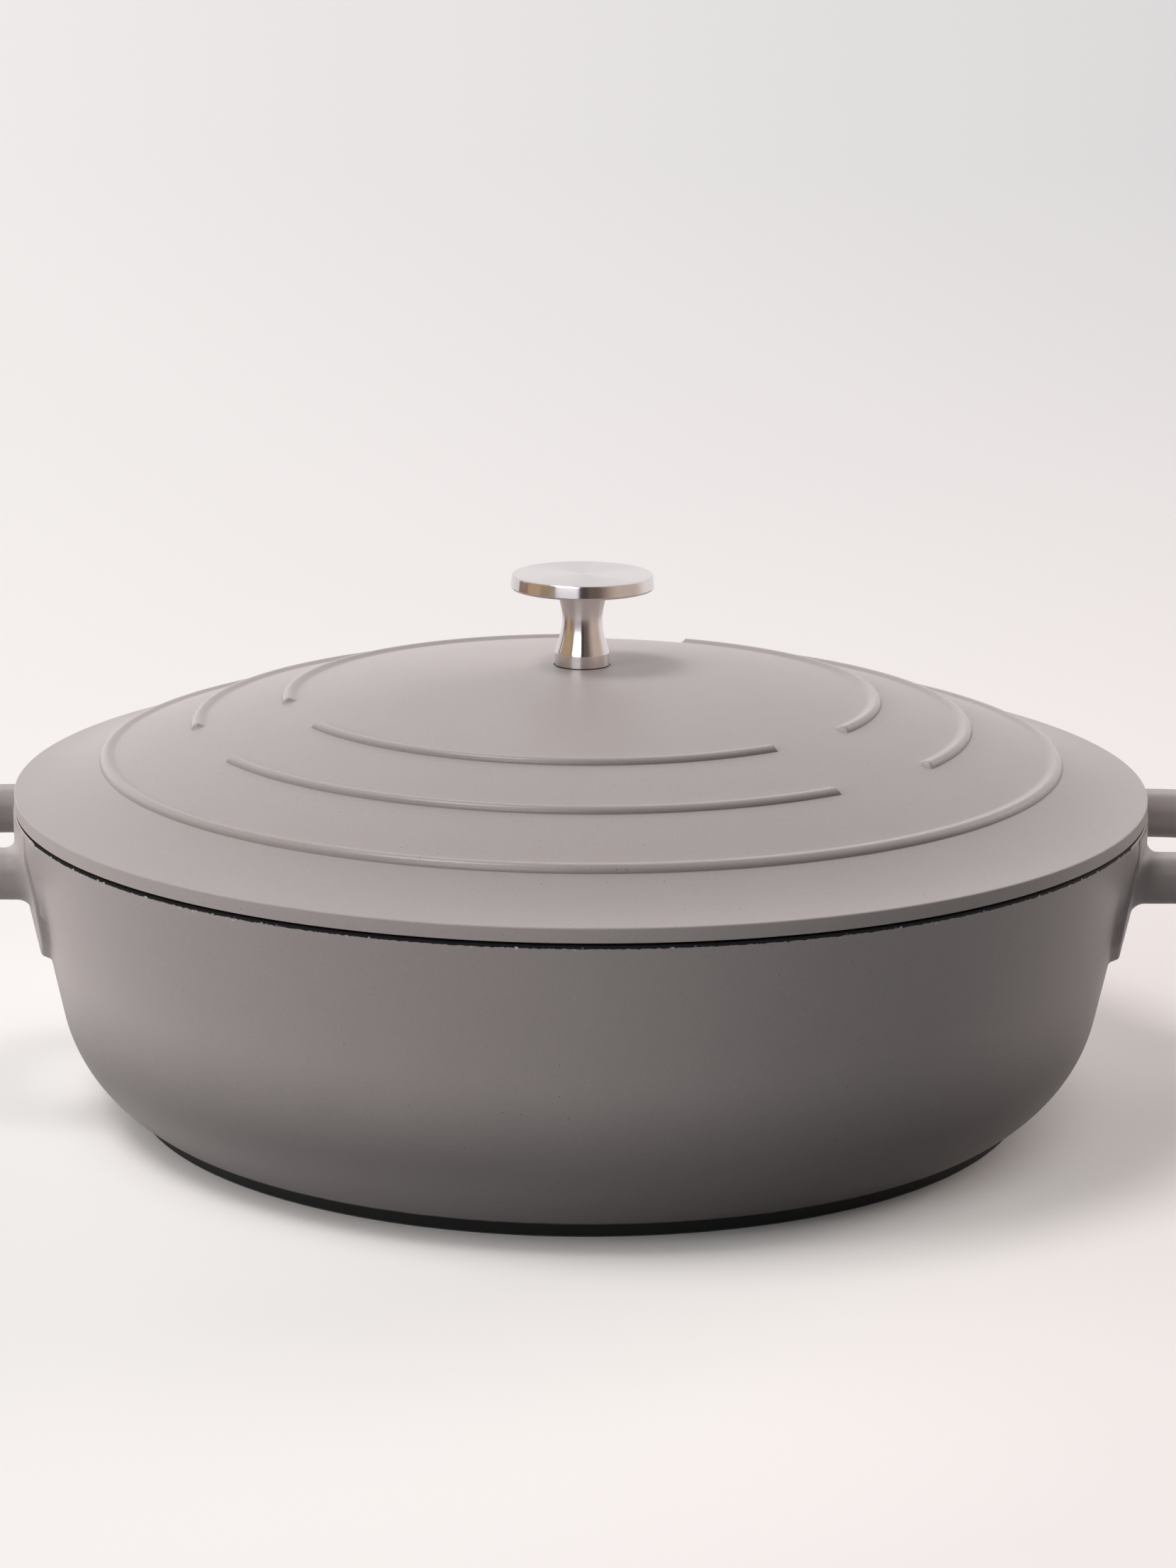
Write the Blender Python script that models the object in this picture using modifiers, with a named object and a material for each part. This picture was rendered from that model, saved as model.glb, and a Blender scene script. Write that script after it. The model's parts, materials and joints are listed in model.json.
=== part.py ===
"""Shallow casserole pot of coated cast aluminium with a domed cast lid and a turned steel knob.

The pot stands on the XY plane with its axis on +Z and its two loop handles along X.
Each piece that comes off the real pot is one object. Lengths are in metres, angles in degrees.
"""

import math

import bmesh
import bpy
from mathutils import Matrix, Vector

# Gap left between pieces that touch
SEAT_GAP = 0.0003

# Pot wall
RIM_RADIUS = 0.148
RIM_HEIGHT = 0.0812
RIM_CHAMFER = 0.0006
WALL_TAPER = 0.207
WALL_THICKNESS = 0.004
CORNER_RADIUS = 0.0365
CORNER_SINK = 0.0016
INNER_CORNER_RADIUS = 0.028
FLOOR_THICKNESS = 0.0058

# Black foot band round the base
FOOT_HEIGHT = 0.0042
FOOT_LEAN = 0.0028
FOOT_STEP = 0.0004
FOOT_CHAMFER = 0.0005

# Steel plate let into the base, inside the ring that the pot stands on
FOOT_RING_WIDTH = 0.0255
PLATE_THICKNESS = 0.0012
PLATE_HOLE_RADIUS = 0.0032
PLATE_HOLE_PITCH = 0.0215
PLATE_HOLE_MARGIN = 0.012
PLATE_HOLES_PER_RING = 6

# Loop handles, one casting with the pot
HANDLE_REACH = 0.042
ARM_SPACING = 0.070
ARM_WIDTH = 0.014
ARM_HEIGHT = 0.0122
ARM_DROP = 0.0132
ARM_EDGE_RADIUS = 0.0045
ARM_FILLET = 0.003
LOOP_SQUARENESS = 3.4

# Raised pad that carries a handle on the wall
PAD_RISE = 0.0022
PAD_REACH = 0.1488
PAD_SIDE_MARGIN = 0.0022
PAD_FOOT_HALF_WIDTH = 0.034
PAD_DEPTH = 0.0372
PAD_CORNER_RADIUS = 0.004
PAD_DRAFT = 0.0009

# Lid
LID_RADIUS = 0.1485
LID_BAND = 0.0035
LID_EDGE_RADIUS = 0.0007
LID_WALL = 0.0032
DOME_RISE = 0.0347
DOME_RADIUS = 0.350
FLANGE_WIDTH = 0.0235
FLANGE_EDGE_SLOPE = 0.1245
SKIRT_DEPTH = 0.0075
SKIRT_THICKNESS = 0.0032
SKIRT_CLEARANCE = 0.0012
BOSS_RADIUS = 0.010
BOSS_DEPTH = 0.0035
BOSS_DRAFT = 0.0009

# Raised rings on the lid: one whole, and two of three arcs each
RIB_EDGE_DISTANCE = 0.0223
RIB_PITCH = 0.0238
RIB_WIDTH = 0.0039
RIB_HEIGHT = 0.0009
RIB_SINK = 0.0008
RIB_CREST_SHARE = 0.34
RIB_GAPS = 3
RIB_FIRST_GAP = 48
RIB_GAP_ANGLE = 21

# Knob
KNOB_HEIGHT = 0.0242
DISC_RADIUS = 0.0189
DISC_THICKNESS = 0.0039
DISC_FLARE = 0.0003
DISC_EDGE_RADIUS = 0.0008
WAIST_RADIUS = 0.0051
WAIST_HEIGHT = 0.0121
WAIST_SPREAD = 0.00101
WAIST_LENGTH = 0.003
COLLAR_RADIUS = 0.00715
COLLAR_HEIGHT = 0.0036
COLLAR_CHAMFER = 0.0002

# Screw and lock washer under the lid
SCREW_RADIUS = 0.0025
SCREW_GRIP = 0.0085
SCREW_CLEARANCE = 0.0003
SCREW_CHAMFER = 0.0006
HEAD_RADIUS = 0.0048
HEAD_HEIGHT = 0.0031
RECESS_WIDTH = 0.0011
RECESS_LENGTH = 0.0048
RECESS_DEPTH = 0.0016
WASHER_RADIUS = 0.0046
WASHER_THICKNESS = 0.0012

# Facets round each turned piece and round a plate hole
POT_STEPS = 60
KNOB_STEPS = 36
SCREW_STEPS = 24
HOLE_STEPS = 8

# Facets along each curved stretch of a profile or a path
OUTER_CORNER_ROWS = 7
INNER_CORNER_ROWS = 6
PAD_ROWS = 6
OUTLINE_CORNER_ROWS = 4
ARM_CORNER_ROWS = 3
LOOP_ROWS = 10
FILLET_SHARES = (0, 0.15, 0.4, 1)
DOME_ROWS = 7
RING_ROWS = 3
ARC_ROWS = 2
ARC_STEP_ANGLE = 6
FLANGE_ROWS = 3
UNDER_ROWS = 5
EDGE_ROWS = 3
STEM_ROWS = 8

MERGE = 0.00001
SMOOTH_ANGLE = 35

# Heights and radii that follow from the sizes above
WALL_SLANT = math.hypot(1, WALL_TAPER)
HANDLE_HEIGHT = RIM_HEIGHT - ARM_DROP
PAD_BOTTOM = RIM_HEIGHT - PAD_DEPTH
LID_BOTTOM = RIM_HEIGHT + SEAT_GAP
LID_EDGE_TOP = LID_BOTTOM + LID_BAND
DOME_TOP = LID_BOTTOM + DOME_RISE
RIB_RADIUS = LID_RADIUS - RIB_EDGE_DISTANCE
KNOB_SEAT_RADIUS = COLLAR_RADIUS + SEAT_GAP
BORE_RADIUS = SCREW_RADIUS + SCREW_CLEARANCE


def clear_scene():
    for obj in list(bpy.data.objects):
        bpy.data.objects.remove(obj, do_unlink=True)


def make_collection(name):
    collection = bpy.data.collections.new(name)
    bpy.context.scene.collection.children.link(collection)
    return collection


def make_material(name, color, roughness, metallic):
    material = bpy.data.materials.new(name)
    material.use_nodes = True
    shader = material.node_tree.nodes["Principled BSDF"]
    shader.inputs["Base Color"].default_value = (*color, 1)
    shader.inputs["Roughness"].default_value = roughness
    shader.inputs["Metallic"].default_value = metallic
    return material


def add_object(name, mesh, collection, materials=()):
    obj = bpy.data.objects.new(name, mesh)
    collection.objects.link(obj)
    for material in materials:
        mesh.materials.append(material)
    return obj


def mesh_from_bmesh(name, bm):
    bmesh.ops.recalc_face_normals(bm, faces=bm.faces)
    mesh = bpy.data.meshes.new(name)
    bm.to_mesh(mesh)
    bm.free()
    return mesh


def turned(name, profile, steps, collection, materials=(), closed=False):
    """A profile of (radius, height) points turned about Z; its outer side runs from top to bottom."""
    mesh = bpy.data.meshes.new(name)
    points = [(radius, 0, height) for radius, height in profile]
    edges = [(i, i + 1) for i in range(len(points) - 1)]
    if closed:
        edges.append((len(points) - 1, 0))
    mesh.from_pydata(points, edges, [])
    obj = add_object(name, mesh, collection, materials)
    screw = obj.modifiers.new("Turn", "SCREW")
    screw.steps = steps
    screw.render_steps = steps
    screw.use_smooth_shade = True
    screw.use_merge_vertices = True
    screw.merge_threshold = MERGE
    return obj


def as_cutter(obj):
    obj.hide_render = True
    obj.display_type = "WIRE"
    return obj


def add_boolean(obj, other, operation):
    modifier = obj.modifiers.new(f"{operation.title()} {other.name}", "BOOLEAN")
    modifier.operation = operation
    modifier.object = other
    modifier.solver = "EXACT"


def evaluated_mesh(obj):
    """The object's mesh with its modifiers, as a mesh of its own."""
    bpy.context.view_layer.update()
    graph = bpy.context.evaluated_depsgraph_get()
    return bpy.data.meshes.new_from_object(obj.evaluated_get(graph))


def apply_modifiers(obj):
    mesh = evaluated_mesh(obj)
    obj.modifiers.clear()
    obj.data = mesh


def shade(obj):
    obj.data.shade_smooth()
    obj.data.set_sharp_from_angle(angle=math.radians(SMOOTH_ANGLE))


def arc(centre, radius, start, end, count):
    """Points (radius, height) along an arc, with its angles in degrees."""
    points = []
    for i in range(count + 1):
        angle = math.radians(start + (end - start) * i / count)
        points.append((centre[0] + radius * math.cos(angle), centre[1] + radius * math.sin(angle)))
    return points


# Pot body
def wall_radius(height, inset=0.0):
    """Radius of the tapered wall at a height, or of a cone set in from it."""
    return RIM_RADIUS - WALL_TAPER * (RIM_HEIGHT - RIM_CHAMFER - height) - inset * WALL_SLANT


def corner_centre(radius, height, inset):
    """Centre of an arc that runs into the tapered wall."""
    return (wall_radius(height, inset) - radius * WALL_SLANT, height)


def outer_corner():
    """The rounded corner below the wall, down to the top of the black foot."""
    centre = corner_centre(CORNER_RADIUS, CORNER_RADIUS - CORNER_SINK, 0)
    wall_angle = -math.degrees(math.atan(WALL_TAPER))
    foot_angle = -math.degrees(math.asin((centre[1] - FOOT_HEIGHT) / CORNER_RADIUS))
    return arc(centre, CORNER_RADIUS, wall_angle, foot_angle, OUTER_CORNER_ROWS)


def foot_radius():
    return outer_corner()[-1][0] - FOOT_STEP - FOOT_LEAN


def plate_radius():
    return foot_radius() - FOOT_RING_WIDTH


def pot_profile():
    """Inner floor, corner and wall, over the rim, and down the outside to the base."""
    wall_angle = -math.degrees(math.atan(WALL_TAPER))
    inner_height = FLOOR_THICKNESS + INNER_CORNER_RADIUS
    inner_centre = corner_centre(INNER_CORNER_RADIUS, inner_height, WALL_THICKNESS)
    recess_radius = plate_radius() + SEAT_GAP
    recess_top = PLATE_THICKNESS + SEAT_GAP
    inner_rim = wall_radius(RIM_HEIGHT - RIM_CHAMFER, WALL_THICKNESS)
    profile = [(0, FLOOR_THICKNESS)]
    profile += arc(inner_centre, INNER_CORNER_RADIUS, -90, wall_angle, INNER_CORNER_ROWS)
    profile += [
        (inner_rim, RIM_HEIGHT - RIM_CHAMFER),
        (inner_rim + RIM_CHAMFER, RIM_HEIGHT),
        (RIM_RADIUS - RIM_CHAMFER, RIM_HEIGHT),
        (RIM_RADIUS, RIM_HEIGHT - RIM_CHAMFER),
    ]
    profile += outer_corner()
    profile += [
        (foot_radius() + FOOT_LEAN, FOOT_HEIGHT - FOOT_STEP),
        (foot_radius() + FOOT_CHAMFER, FOOT_CHAMFER),
        (foot_radius(), 0),
        (recess_radius, 0),
        (recess_radius, recess_top),
        (0, recess_top),
    ]
    return profile


def rounded_outline(corners, radii, count):
    """A closed outline with its corners rounded; corners and radii go round in one direction."""
    outline = []
    total = len(corners)
    for i, corner in enumerate(corners):
        here = Vector(corner)
        before = (Vector(corners[i - 1]) - here).normalized()
        after = (Vector(corners[(i + 1) % total]) - here).normalized()
        half = before.angle(after) / 2
        reach = radii[i] / math.tan(half)
        centre = here + (before + after).normalized() * radii[i] / math.sin(half)
        start = here + before * reach - centre
        end = here + after * reach - centre
        for step in range(count + 1):
            outline.append(centre + start.slerp(end, step / count) * radii[i])
    return outline


def loft(name, rings):
    """A solid skin over rings that have the same number of points, with flat ends."""
    bm = bmesh.new()
    rows = [[bm.verts.new(point) for point in ring] for ring in rings]
    for low, high in zip(rows, rows[1:]):
        for i in range(len(low)):
            j = (i + 1) % len(low)
            bm.faces.new((low[i], low[j], high[j], high[i]))
    bm.faces.new(reversed(rows[0]))
    bm.faces.new(rows[-1])
    return mesh_from_bmesh(name, bm)


def pad_half_width():
    return ARM_SPACING / 2 + ARM_WIDTH / 2 + PAD_SIDE_MARGIN


def pad_outline(inset):
    """Outline of a handle pad in the (Y, Z) plane: straight under the rim, drawn in below the arms."""
    top = RIM_HEIGHT - RIM_CHAMFER
    half = pad_half_width() - inset
    shoulder = HANDLE_HEIGHT - ARM_HEIGHT / 2
    foot = PAD_BOTTOM + inset
    foot_half = PAD_FOOT_HALF_WIDTH - inset
    waist_half = (half + 2 * foot_half) / 3
    waist = (shoulder + foot) / 2
    corners = [(-half, top), (half, top), (half, shoulder), (waist_half, waist), (foot_half, foot)]
    corners += [(-foot_half, foot), (-waist_half, waist), (-half, shoulder)]
    small = RIM_CHAMFER
    big = PAD_CORNER_RADIUS
    radii = [small, small, big, 2 * big, big, big, 2 * big, big]
    return rounded_outline(corners, radii, OUTLINE_CORNER_ROWS)


def pad_radius(height):
    """The pad's face follows the wall's cone, and stands upright near the rim."""
    return min(wall_radius(height, -PAD_RISE), PAD_REACH)


def pad_solid(name, side, collection):
    """The wall's own cone, set out by the pad's rise, kept only inside the pad's drafted outline."""
    top = RIM_HEIGHT - RIM_CHAMFER
    low = PAD_BOTTOM - PAD_CORNER_RADIUS
    sink = WALL_THICKNESS / 3
    profile = []
    for i in range(PAD_ROWS + 1):
        height = top - (top - low) * i / PAD_ROWS
        profile.append((pad_radius(height), height))
    profile += [(wall_radius(low, sink), low), (wall_radius(top, sink), top)]
    pad = turned(name, profile, POT_STEPS, collection, closed=True)
    near = math.sqrt(wall_radius(low, WALL_THICKNESS) ** 2 - pad_half_width() ** 2)
    far = RIM_RADIUS + 2 * PAD_RISE
    rings = []
    for x, inset in ((near, 0), (wall_radius(low), 0), (far, PAD_DRAFT)):
        rings.append([(side * x, point.x, point.y) for point in pad_outline(inset)])
    outline = as_cutter(add_object(name + "_outline", loft(name + "_outline", rings), collection))
    add_boolean(pad, outline, "INTERSECT")
    return as_cutter(pad)


def arm_section(collection):
    """Cross-section of the handle: flat top and bottom with round sides."""
    half_width = ARM_WIDTH / 2
    half_height = ARM_HEIGHT / 2
    corners = [
        (-half_width, -half_height),
        (half_width, -half_height),
        (half_width, half_height),
        (-half_width, half_height),
    ]
    curve = bpy.data.curves.new("arm_section", "CURVE")
    spline = curve.splines.new("POLY")
    outline = rounded_outline(corners, [ARM_EDGE_RADIUS] * len(corners), ARM_CORNER_ROWS)
    spline.points.add(len(outline) - 1)
    for point, place in zip(spline.points, outline):
        point.co = (place.x, place.y, 0, 1)
    spline.use_cyclic_u = True
    return as_cutter(add_object("arm_section", curve, collection))


def fillet_scale(distance):
    """How much thicker the arm is near the pad, where it runs out in a fillet."""
    if distance >= ARM_FILLET:
        return 1.0
    rest = ARM_FILLET - max(distance, 0)
    spread = ARM_FILLET - math.sqrt(ARM_FILLET**2 - rest**2)
    return 1.0 + spread / (ARM_HEIGHT / 2)


def loop_path():
    """Centre line of one handle at +X, as (x, y, thickness) from one arm to the other."""
    root_y = ARM_SPACING / 2
    pad_x = math.sqrt(pad_radius(HANDLE_HEIGHT) ** 2 - root_y**2)
    flared_y = root_y + ARM_WIDTH / 2 * fillet_scale(0)
    root_x = math.sqrt(wall_radius(HANDLE_HEIGHT, WALL_THICKNESS) ** 2 - flared_y**2)
    start_x = pad_x + ARM_FILLET
    length = RIM_RADIUS + HANDLE_REACH - ARM_WIDTH / 2 - start_x
    half = [(root_x, root_y, fillet_scale(0))]
    for share in FILLET_SHARES:
        reach = share * ARM_FILLET
        half.append((pad_x + reach, root_y, fillet_scale(reach)))
    for i in range(1, LOOP_ROWS):
        turn = math.pi / 2 * i / LOOP_ROWS
        x = start_x + length * math.sin(turn) ** (2 / LOOP_SQUARENESS)
        y = root_y * math.cos(turn) ** (2 / LOOP_SQUARENESS)
        half.append((x, y, 1.0))
    middle = [(start_x + length, 0, 1.0)]
    mirrored = [(x, -y, scale) for x, y, scale in reversed(half)]
    return half + middle + mirrored


def wall_core(collection):
    """Everything inside the middle of the wall, which trims the handles' roots."""
    low = PAD_BOTTOM - PAD_CORNER_RADIUS
    middle = WALL_THICKNESS / 2
    profile = [
        (0, RIM_HEIGHT),
        (wall_radius(RIM_HEIGHT, middle), RIM_HEIGHT),
        (wall_radius(low, middle), low),
        (0, low),
    ]
    return as_cutter(turned("wall_core", profile, POT_STEPS, collection))


def loop_solid(name, side, section, core, collection):
    """The handle's section swept round its centre line, trimmed inside the wall."""
    curve = bpy.data.curves.new(name, "CURVE")
    curve.dimensions = "3D"
    curve.bevel_mode = "OBJECT"
    curve.bevel_object = section
    curve.use_fill_caps = True
    curve.twist_mode = "Z_UP"
    path = loop_path()
    spline = curve.splines.new("POLY")
    spline.points.add(len(path) - 1)
    for point, (x, y, scale) in zip(spline.points, path):
        point.co = (side * x, y, HANDLE_HEIGHT, 1)
        point.radius = scale
    guide = add_object(name + "_guide", curve, collection)
    mesh = evaluated_mesh(guide)
    bpy.data.objects.remove(guide)
    bm = bmesh.new()
    bm.from_mesh(mesh)
    bmesh.ops.remove_doubles(bm, verts=bm.verts, dist=MERGE)
    loop = as_cutter(add_object(name, mesh_from_bmesh(name, bm), collection))
    add_boolean(loop, core, "DIFFERENCE")
    return loop


def paint_nonstick(obj):
    """The inside, the rim and the base are black: their faces take the second material."""
    for face in obj.data.polygons:
        radius = math.hypot(face.center.x, face.center.y)
        on_foot = face.center.z < FOOT_HEIGHT - FOOT_STEP / 2
        on_rim = face.center.z > RIM_HEIGHT - RIM_CHAMFER
        inner_side = radius < wall_radius(face.center.z, WALL_THICKNESS / 2) and face.normal.z > 0
        if on_foot or on_rim or inner_side:
            face.material_index = 1


def make_pot_body(parts, cutters, coating, nonstick):
    body = turned("pot_body", pot_profile(), POT_STEPS, parts, (coating, nonstick))
    section = arm_section(cutters)
    core = wall_core(cutters)
    for side, word in ((-1, "left"), (1, "right")):
        add_boolean(body, pad_solid(f"{word}_pad", side, cutters), "UNION")
        add_boolean(body, loop_solid(f"{word}_loop", side, section, core, cutters), "UNION")
    apply_modifiers(body)
    paint_nonstick(body)
    shade(body)


# Steel plate in the base
def make_induction_plate(parts, cutters, steel):
    radius = plate_radius()
    profile = [(0, PLATE_THICKNESS), (radius, PLATE_THICKNESS), (radius, 0), (0, 0)]
    plate = turned("induction_plate", profile, POT_STEPS, parts, (steel,))
    rings = int((radius - PLATE_HOLE_MARGIN) / PLATE_HOLE_PITCH)
    bm = bmesh.new()
    for ring in range(1, rings + 1):
        count = ring * PLATE_HOLES_PER_RING
        for i in range(count):
            turn = Matrix.Rotation(math.tau * (i + 0.5) / count, 4, "Z")
            move = Matrix.Translation((ring * PLATE_HOLE_PITCH, 0, PLATE_THICKNESS / 2))
            bmesh.ops.create_cone(
                bm,
                cap_ends=True,
                segments=HOLE_STEPS,
                radius1=PLATE_HOLE_RADIUS,
                radius2=PLATE_HOLE_RADIUS,
                depth=3 * PLATE_THICKNESS,
                matrix=turn @ move,
            )
    holes = as_cutter(add_object("plate_holes", mesh_from_bmesh("plate_holes", bm), cutters))
    add_boolean(plate, holes, "DIFFERENCE")
    apply_modifiers(plate)
    shade(plate)


# Lid
def dome_height(radius):
    return DOME_TOP - DOME_RADIUS + math.sqrt(DOME_RADIUS**2 - radius**2)


def lid_height(radius):
    """Height of the lid's outer face: a dome that runs into a hollow flange near the edge."""
    inner = LID_RADIUS - FLANGE_WIDTH
    if radius <= inner:
        return dome_height(radius)
    rise = dome_height(inner) - LID_EDGE_TOP
    curl = (rise - FLANGE_EDGE_SLOPE * FLANGE_WIDTH) / FLANGE_WIDTH**2
    reach = LID_RADIUS - radius
    return LID_EDGE_TOP + FLANGE_EDGE_SLOPE * reach + curl * reach**2


def under_height(radius):
    """Height of the lid's inner face, a wall's thickness below the outer one."""
    reach = LID_WALL / 2
    slope = (lid_height(radius + reach) - lid_height(radius - reach)) / (2 * reach)
    return lid_height(radius) - LID_WALL * math.hypot(1, slope)


def rib_crest(radius, rows):
    """Points over one raised ring: a soft rise from its inner foot, then a quarter round to its outer foot."""
    points = []
    crest = radius - RIB_WIDTH * RIB_CREST_SHARE
    for i in range(rows):
        turn = math.pi * i / rows
        place = radius - RIB_WIDTH + (crest - radius + RIB_WIDTH) * i / rows
        points.append((place, lid_height(place) + RIB_HEIGHT * (1 - math.cos(turn)) / 2))
    for i in range(rows + 1):
        turn = math.pi / 2 * i / rows
        place = crest + (radius - crest) * math.sin(turn)
        points.append((place, lid_height(place) + RIB_HEIGHT * math.cos(turn)))
    return points


def skirt_radius(height, inset):
    """The skirt hangs inside the pot's wall and keeps its clearance from it."""
    return wall_radius(height, WALL_THICKNESS + inset)


def lid_profile():
    """Over the dome, the whole ring and the flange, round the edge and back under to the bore."""
    seat = dome_height(KNOB_SEAT_RADIUS) - SEAT_GAP
    profile = [(BORE_RADIUS, seat), (KNOB_SEAT_RADIUS, seat), (KNOB_SEAT_RADIUS, seat + SEAT_GAP)]
    dome_edge = RIB_RADIUS - RIB_WIDTH
    for i in range(1, DOME_ROWS):
        radius = KNOB_SEAT_RADIUS + (dome_edge - KNOB_SEAT_RADIUS) * i / DOME_ROWS
        profile.append((radius, lid_height(radius)))
    profile += rib_crest(RIB_RADIUS, RING_ROWS)
    flange_end = LID_RADIUS - LID_EDGE_RADIUS
    for i in range(1, FLANGE_ROWS):
        radius = RIB_RADIUS + (flange_end - RIB_RADIUS) * i / FLANGE_ROWS
        profile.append((radius, lid_height(radius)))
    edge_centre = (flange_end, lid_height(flange_end) - LID_EDGE_RADIUS)
    profile += arc(edge_centre, LID_EDGE_RADIUS, 90, 0, EDGE_ROWS)
    profile += [(LID_RADIUS, LID_BOTTOM + RIM_CHAMFER / 2), (LID_RADIUS - RIM_CHAMFER / 2, LID_BOTTOM)]
    skirt_bottom = LID_BOTTOM - SKIRT_DEPTH
    skirt_out = skirt_radius(skirt_bottom, SKIRT_CLEARANCE)
    skirt_in = skirt_out - SKIRT_THICKNESS
    profile += [
        (skirt_radius(RIM_HEIGHT, SKIRT_CLEARANCE), LID_BOTTOM),
        (skirt_out, skirt_bottom),
        (skirt_in, skirt_bottom),
    ]
    boss_top = BOSS_RADIUS + BOSS_DRAFT
    for i in range(UNDER_ROWS + 1):
        radius = skirt_in + (boss_top - skirt_in) * i / UNDER_ROWS
        profile.append((radius, under_height(radius)))
    profile += [(BOSS_RADIUS, boss_bottom()), (BORE_RADIUS, boss_bottom())]
    return profile


def boss_bottom():
    return dome_height(0) - LID_WALL - BOSS_DEPTH


def rib_arc(name, radius, start, end, collection):
    """One arc of a broken ring: the ring's section swept from start to end about the lid's axis."""
    section = rib_crest(radius, ARC_ROWS)
    for place in (radius, radius - RIB_WIDTH):
        section.append((place, lid_height(place) - RIB_SINK))
    count = math.ceil((end - start) / ARC_STEP_ANGLE)
    rings = []
    for i in range(count + 1):
        angle = math.radians(start + (end - start) * i / count)
        rings.append([(r * math.sin(angle), -r * math.cos(angle), z) for r, z in section])
    return as_cutter(add_object(name, loft(name, rings), collection))


def make_lid(parts, cutters, coating, nonstick):
    lid = turned("lid", lid_profile(), POT_STEPS, parts, (coating, nonstick), closed=True)
    for ring in (1, 2):
        radius = RIB_RADIUS - ring * RIB_PITCH
        for i in range(RIB_GAPS):
            start = RIB_FIRST_GAP + 360 * i / RIB_GAPS + RIB_GAP_ANGLE / 2
            end = start + 360 / RIB_GAPS - RIB_GAP_ANGLE
            add_boolean(lid, rib_arc(f"rib_{ring}_{i + 1}", radius, start, end, cutters), "UNION")
    apply_modifiers(lid)
    for face in lid.data.polygons:
        if face.normal.z < 0 or face.center.z < LID_BOTTOM:
            face.material_index = 1
    shade(lid)


# Knob, screw and washer
def stem_radius(height):
    """Waisted stem: narrowest at the waist and spreading towards both ends."""
    away = (height - WAIST_HEIGHT) / WAIST_LENGTH
    return WAIST_RADIUS + WAIST_SPREAD * (math.hypot(1, away) - 1)


def make_knob(parts, steel):
    """The knob's origin is the middle of its foot, which stands in the lid's shallow seat."""
    under = KNOB_HEIGHT - DISC_THICKNESS
    edge = DISC_EDGE_RADIUS
    stem_top = under - edge / 2
    profile = [(0, KNOB_HEIGHT)]
    edge_centre = (DISC_RADIUS - DISC_FLARE - edge, KNOB_HEIGHT - edge)
    profile += arc(edge_centre, edge, 90, 0, EDGE_ROWS)
    profile += [(DISC_RADIUS, under + edge), (DISC_RADIUS - edge / 2, under)]
    profile.append((stem_radius(under) + edge, under))
    for i in range(STEM_ROWS + 1):
        height = stem_top + (COLLAR_HEIGHT - stem_top) * i / STEM_ROWS
        profile.append((min(stem_radius(height), COLLAR_RADIUS - COLLAR_CHAMFER / 2), height))
    bore_top = SCREW_GRIP + SEAT_GAP
    profile += [
        (COLLAR_RADIUS, COLLAR_HEIGHT - COLLAR_CHAMFER),
        (COLLAR_RADIUS, COLLAR_CHAMFER),
        (COLLAR_RADIUS - COLLAR_CHAMFER, 0),
        (BORE_RADIUS, 0),
        (BORE_RADIUS, bore_top),
        (0, bore_top + BORE_RADIUS / 2),
    ]
    knob = turned("knob", profile, KNOB_STEPS, parts, (steel,))
    knob.location.z = dome_height(KNOB_SEAT_RADIUS)


def make_lock_washer(parts, steel):
    top = boss_bottom() - SEAT_GAP
    bottom = top - WASHER_THICKNESS
    profile = [(WASHER_RADIUS, top), (WASHER_RADIUS, bottom), (BORE_RADIUS, bottom), (BORE_RADIUS, top)]
    turned("lock_washer", profile, SCREW_STEPS, parts, (steel,), closed=True)


def make_knob_screw(parts, cutters, steel):
    """Pan head screw up through the washer and the lid into the knob, with a cross recess."""
    head_top = boss_bottom() - WASHER_THICKNESS - 2 * SEAT_GAP
    tip = dome_height(KNOB_SEAT_RADIUS) + SCREW_GRIP
    profile = [
        (0, tip),
        (SCREW_RADIUS - SCREW_CHAMFER, tip),
        (SCREW_RADIUS, tip - SCREW_CHAMFER),
        (SCREW_RADIUS, head_top),
        (HEAD_RADIUS, head_top),
    ]
    for i in range(EDGE_ROWS + 1):
        turn = math.pi / 2 * i / EDGE_ROWS
        radius = HEAD_RADIUS * (1 + math.cos(turn)) / 2
        profile.append((radius, head_top - HEAD_HEIGHT * (1 + math.sin(turn)) / 2))
    profile.append((0, head_top - HEAD_HEIGHT))
    screw = turned("knob_screw", profile, SCREW_STEPS, parts, (steel,))
    for i in range(2):
        bm = bmesh.new()
        size = Matrix.Diagonal((RECESS_LENGTH, RECESS_WIDTH, 2 * RECESS_DEPTH, 1))
        place = Matrix.Translation((0, 0, head_top - HEAD_HEIGHT))
        turn = Matrix.Rotation(math.pi / 2 * i, 4, "Z")
        bmesh.ops.create_cube(bm, size=1, matrix=place @ turn @ size)
        slot = add_object(f"screw_slot_{i + 1}", mesh_from_bmesh("screw_slot", bm), cutters)
        add_boolean(screw, as_cutter(slot), "DIFFERENCE")


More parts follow.
